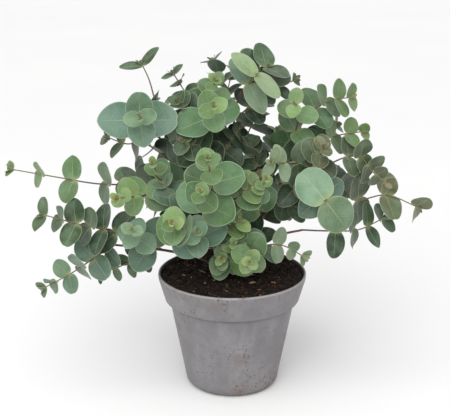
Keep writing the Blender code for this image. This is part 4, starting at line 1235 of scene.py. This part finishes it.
def make_pot():
    """The pot, turned and then drilled."""
    points, faces = turned_shape(rounded(pot_profile(), POT_ROUND), POT_SPOKES)
    pot = piece("pot_shell", points, faces, pot_material(), "pot", ("pot",))
    drills = bpy.data.collections.new("drain_drills")
    drills.hide_render = True
    bpy.context.scene.collection.children.link(drills)
    circle = (base_radius() - BASE_ROUND - FOOT_RING_WIDTH + PAD_RADIUS) / 2
    for number in range(DRAIN_HOLES):
        turn = 2 * math.pi * (number + 0.5) / DRAIN_HOLES
        work = bmesh.new()
        bmesh.ops.create_cone(
            work, cap_ends=True, segments=DRAIN_SIDES, radius1=DRAIN_RADIUS, radius2=DRAIN_RADIUS,
            depth=4 * floor_height(),
            matrix=Matrix.Translation((circle * math.cos(turn), circle * math.sin(turn), 0.0)),
        )
        drill = mesh_object(f"drain_{number}", work)
        drill.hide_render = True
        drills.objects.link(drill)
    cut = pot.modifiers.new("drains", "BOOLEAN")
    cut.solver = "EXACT"
    cut.operand_type = "COLLECTION"
    cut.collection = drills


def mesh_object(name, work):
    """An object from a bmesh, not yet in the scene."""
    mesh = bpy.data.meshes.new(name)
    work.to_mesh(mesh)
    work.free()
    return bpy.data.objects.new(name, mesh)


def lump(chance, detail):
    """A crumb's points and faces: a dented ball of unit size."""
    work = bmesh.new()
    bmesh.ops.create_icosphere(work, subdivisions=detail, radius=1.0)
    seed = Vector([chance.uniform(-50, 50) for _ in range(3)])
    for corner in work.verts:
        corner.co *= 1 + 0.45 * noise.noise(corner.co * 1.3 + seed)
    work.verts.index_update()
    points = np.array([corner.co[:] for corner in work.verts])
    faces = [tuple(corner.index for corner in face.verts) for face in work.faces]
    work.free()
    return points, faces


def inner_radius(height):
    """The pot's inside radius at a height on the collar."""
    low, high = inner_side(0.0)[-2:]
    return low[0] + (high[0] - low[0]) * (height - low[1]) / (high[1] - low[1])


def compost_height(x, y):
    """The compost's broken surface, banked up a little against the wall."""
    place = Vector((x, y, 0.0))
    share = math.hypot(x, y) / inner_radius(POT_HEIGHT - COMPOST_RECESS)
    bank = BANK_HEIGHT * share ** 6 * (1.0 + 0.6 * noise.noise(place * 55))
    clods = sum(height * noise.noise(place * scale) for scale, height in CLODS)
    return compost_top(x, y) + clods + bank


def strewn_place(chance, gap):
    """A random place on the compost, at least this far from its edge."""
    reach, turn = (COMPOST_EDGE - gap) * math.sqrt(chance.random()), chance.uniform(0, 2 * math.pi)
    return reach * math.cos(turn), reach * math.sin(turn)


def set_down(points, x, y, raised):
    """Points moved to a place on the compost, their middle this far above its surface."""
    return points + np.array((x, y, compost_height(x, y) + raised))


def random_turn(chance):
    turn = chance.uniform(0, 2 * math.pi)
    axis = Vector([chance.uniform(-1, 1) for _ in range(3)]).normalized()
    return np.array(Matrix.Rotation(turn, 3, axis))


def make_bed(look):
    """The compost's body: a broken top over the shape of the pot's inside."""
    radii = [COMPOST_EDGE * ring / COMPOST_RINGS for ring in range(COMPOST_RINGS + 1)]
    side = inner_side(CLEARANCE)[:-1][::-1]
    profile = [(radius, compost_top(radius, 0)) for radius in radii] + side + [(0.0, side[-1][1])]
    points, faces = turned_shape(profile, COMPOST_SPOKES)
    for point in points[:1 + COMPOST_RINGS * COMPOST_SPOKES]:
        point[2] = compost_height(point[0], point[1])
    tone = np.tile((0.013, 0.008, 0.006), (len(points), 1))
    piece("compost_bed", points, faces, look, "compost", ("compost",), tone=tone)


def make_crumbs(look, chance):
    lumps = [lump(chance, 1) for _ in range(14)]
    crumbs = Shape()
    for _ in range(CRUMBS):
        x, y = strewn_place(chance, 0.002)
        size = 0.0006 + 0.0024 * chance.random() ** 3
        points, faces = chance.choice(lumps)
        flat = np.array([1.0, chance.uniform(0.6, 1.0), chance.uniform(0.4, 0.9)])
        points = (points * flat) @ random_turn(chance).T * size
        tone = mixed((0.009, 0.006, 0.005), (0.085, 0.042, 0.024), chance.random() ** 2.4)
        crumbs.add(set_down(points, x, y, size * 0.25), faces, tone=tone)
    crumbs.piece("compost_crumbs", look, "compost")


def make_fibres(look, chance):
    """Fine fibres that wander over the compost."""
    fibres = Shape()
    for _ in range(FIBRES):
        place = Vector((*strewn_place(chance, 0.006), 0))
        heading = chance.uniform(0, 2 * math.pi)
        line = []
        for _ in range(6):
            if math.hypot(place.x, place.y) > COMPOST_EDGE - 0.002:
                break
            place.z = compost_height(place.x, place.y) + 0.0004 + chance.uniform(0, 0.0008)
            line.append(place.copy())
            heading += chance.uniform(-0.6, 0.6)
            ahead = Vector((math.cos(heading), math.sin(heading), 0))
            place = place + ahead * chance.uniform(0.0008, 0.0018)
        if len(line) < 4:
            continue
        radius = chance.uniform(0.00010, 0.00028)
        points, faces = swept(line, [radius] * len(line), 5)
        tone = mixed((0.05, 0.028, 0.016), (0.30, 0.17, 0.08), chance.random() ** 1.5)
        fibres.add(points, faces, tone=tone)
    fibres.piece("compost_fibres", look, "compost")


def make_bark_bits(chance):
    bits = Shape()
    for _ in range(BARK_BITS):
        x, y = strewn_place(chance, 0.004)
        size = chance.uniform(0.0009, 0.0024)
        points, faces = lump(chance, 2)
        spin = Matrix.Rotation(chance.uniform(0, 6.3), 3, "Z")
        spin = np.array(spin @ Matrix.Rotation(chance.uniform(-0.5, 0.5), 3, "X"))
        points = (points * np.array([1.0, 0.55, 0.28])) * size @ spin.T
        bits.add(set_down(points, x, y, size * 0.3), faces, tone=chance.choice(BARK_TONES))
    bits.piece("bark_bits", chip_material("bark_bits"), "bark")


def make_compost():
    look = compost_material("moist_peat")
    make_bed(look)
    chance = random.Random(COMPOST_SEED)
    make_crumbs(look, chance)
    make_fibres(look, chance)
    make_bark_bits(chance)


def make_litter():
    """The loose bits that the part has, in their places."""
    look = chip_material("bark_chip")
    chance = random.Random(LITTER_SEED)
    for name, (x, y), size, turn, colour in LITTER:
        points, faces = lump(chance, 3)
        low, high = points.min(0), points.max(0)
        points = (points - (high + low) / 2) / (high - low) * np.array(size)
        spin = np.array(Matrix.Rotation(math.radians(turn), 3, "Z"))
        points = points @ spin.T + np.array((x, y, compost_top(x, y) + size[2] / 2 + 3 * CLEARANCE))
        tone = np.tile(colour, (len(points), 1))
        piece(f"litter_{name}", points, faces, look, "bark", (name,), tone=tone)


# ---------------------------------------------------------------- stage

def make_stage():
    """A wide pale floor, soft light all round, a broad sun and a key light, and the camera."""
    link = bpy.context.scene.collection.objects.link
    work = bmesh.new()
    bmesh.ops.create_grid(work, x_segments=1, y_segments=1, size=FLOOR_SIZE)
    floor = mesh_object("floor", work)
    floor.data.materials.append(floor_material())
    link(floor)

    world = bpy.data.worlds.new("soft_studio")
    world.use_nodes = True
    sky = world.node_tree.nodes["Background"].inputs
    sky["Color"].default_value = (1.0, 1.0, 1.0, 1.0)
    sky["Strength"].default_value = SKY_STRENGTH
    bpy.context.scene.world = world

    for kind, name, place, width, power in LIGHTS:
        light = bpy.data.lights.new(name, kind)
        if kind == "SUN":
            light.angle = math.radians(width)
        else:
            light.shape = "DISK"
            light.size = width
        light.energy = power
        lamp = bpy.data.objects.new(name, light)
        lamp.location = place
        lamp.rotation_euler = (Vector(LIT_POINT) - Vector(place)).to_track_quat("-Z", "Y").to_euler()
        link(lamp)

    camera = bpy.data.cameras.new("camera")
    camera.lens = CAMERA_LENS
    camera.sensor_width = 36.0
    viewer = bpy.data.objects.new("camera", camera)
    viewer.location = CAMERA_PLACE
    viewer.rotation_euler = (math.radians(CAMERA_TILT), 0.0, 0.0)
    link(viewer)
    bpy.context.scene.camera = viewer
    bpy.context.scene.view_settings.view_transform = "Standard"


BLADE_FACES = blade_faces()
COMPOST_EDGE = inner_radius(POT_HEIGHT - COMPOST_RECESS) - CLEARANCE
make_plant()
make_pot()
make_compost()
make_litter()
make_stage()
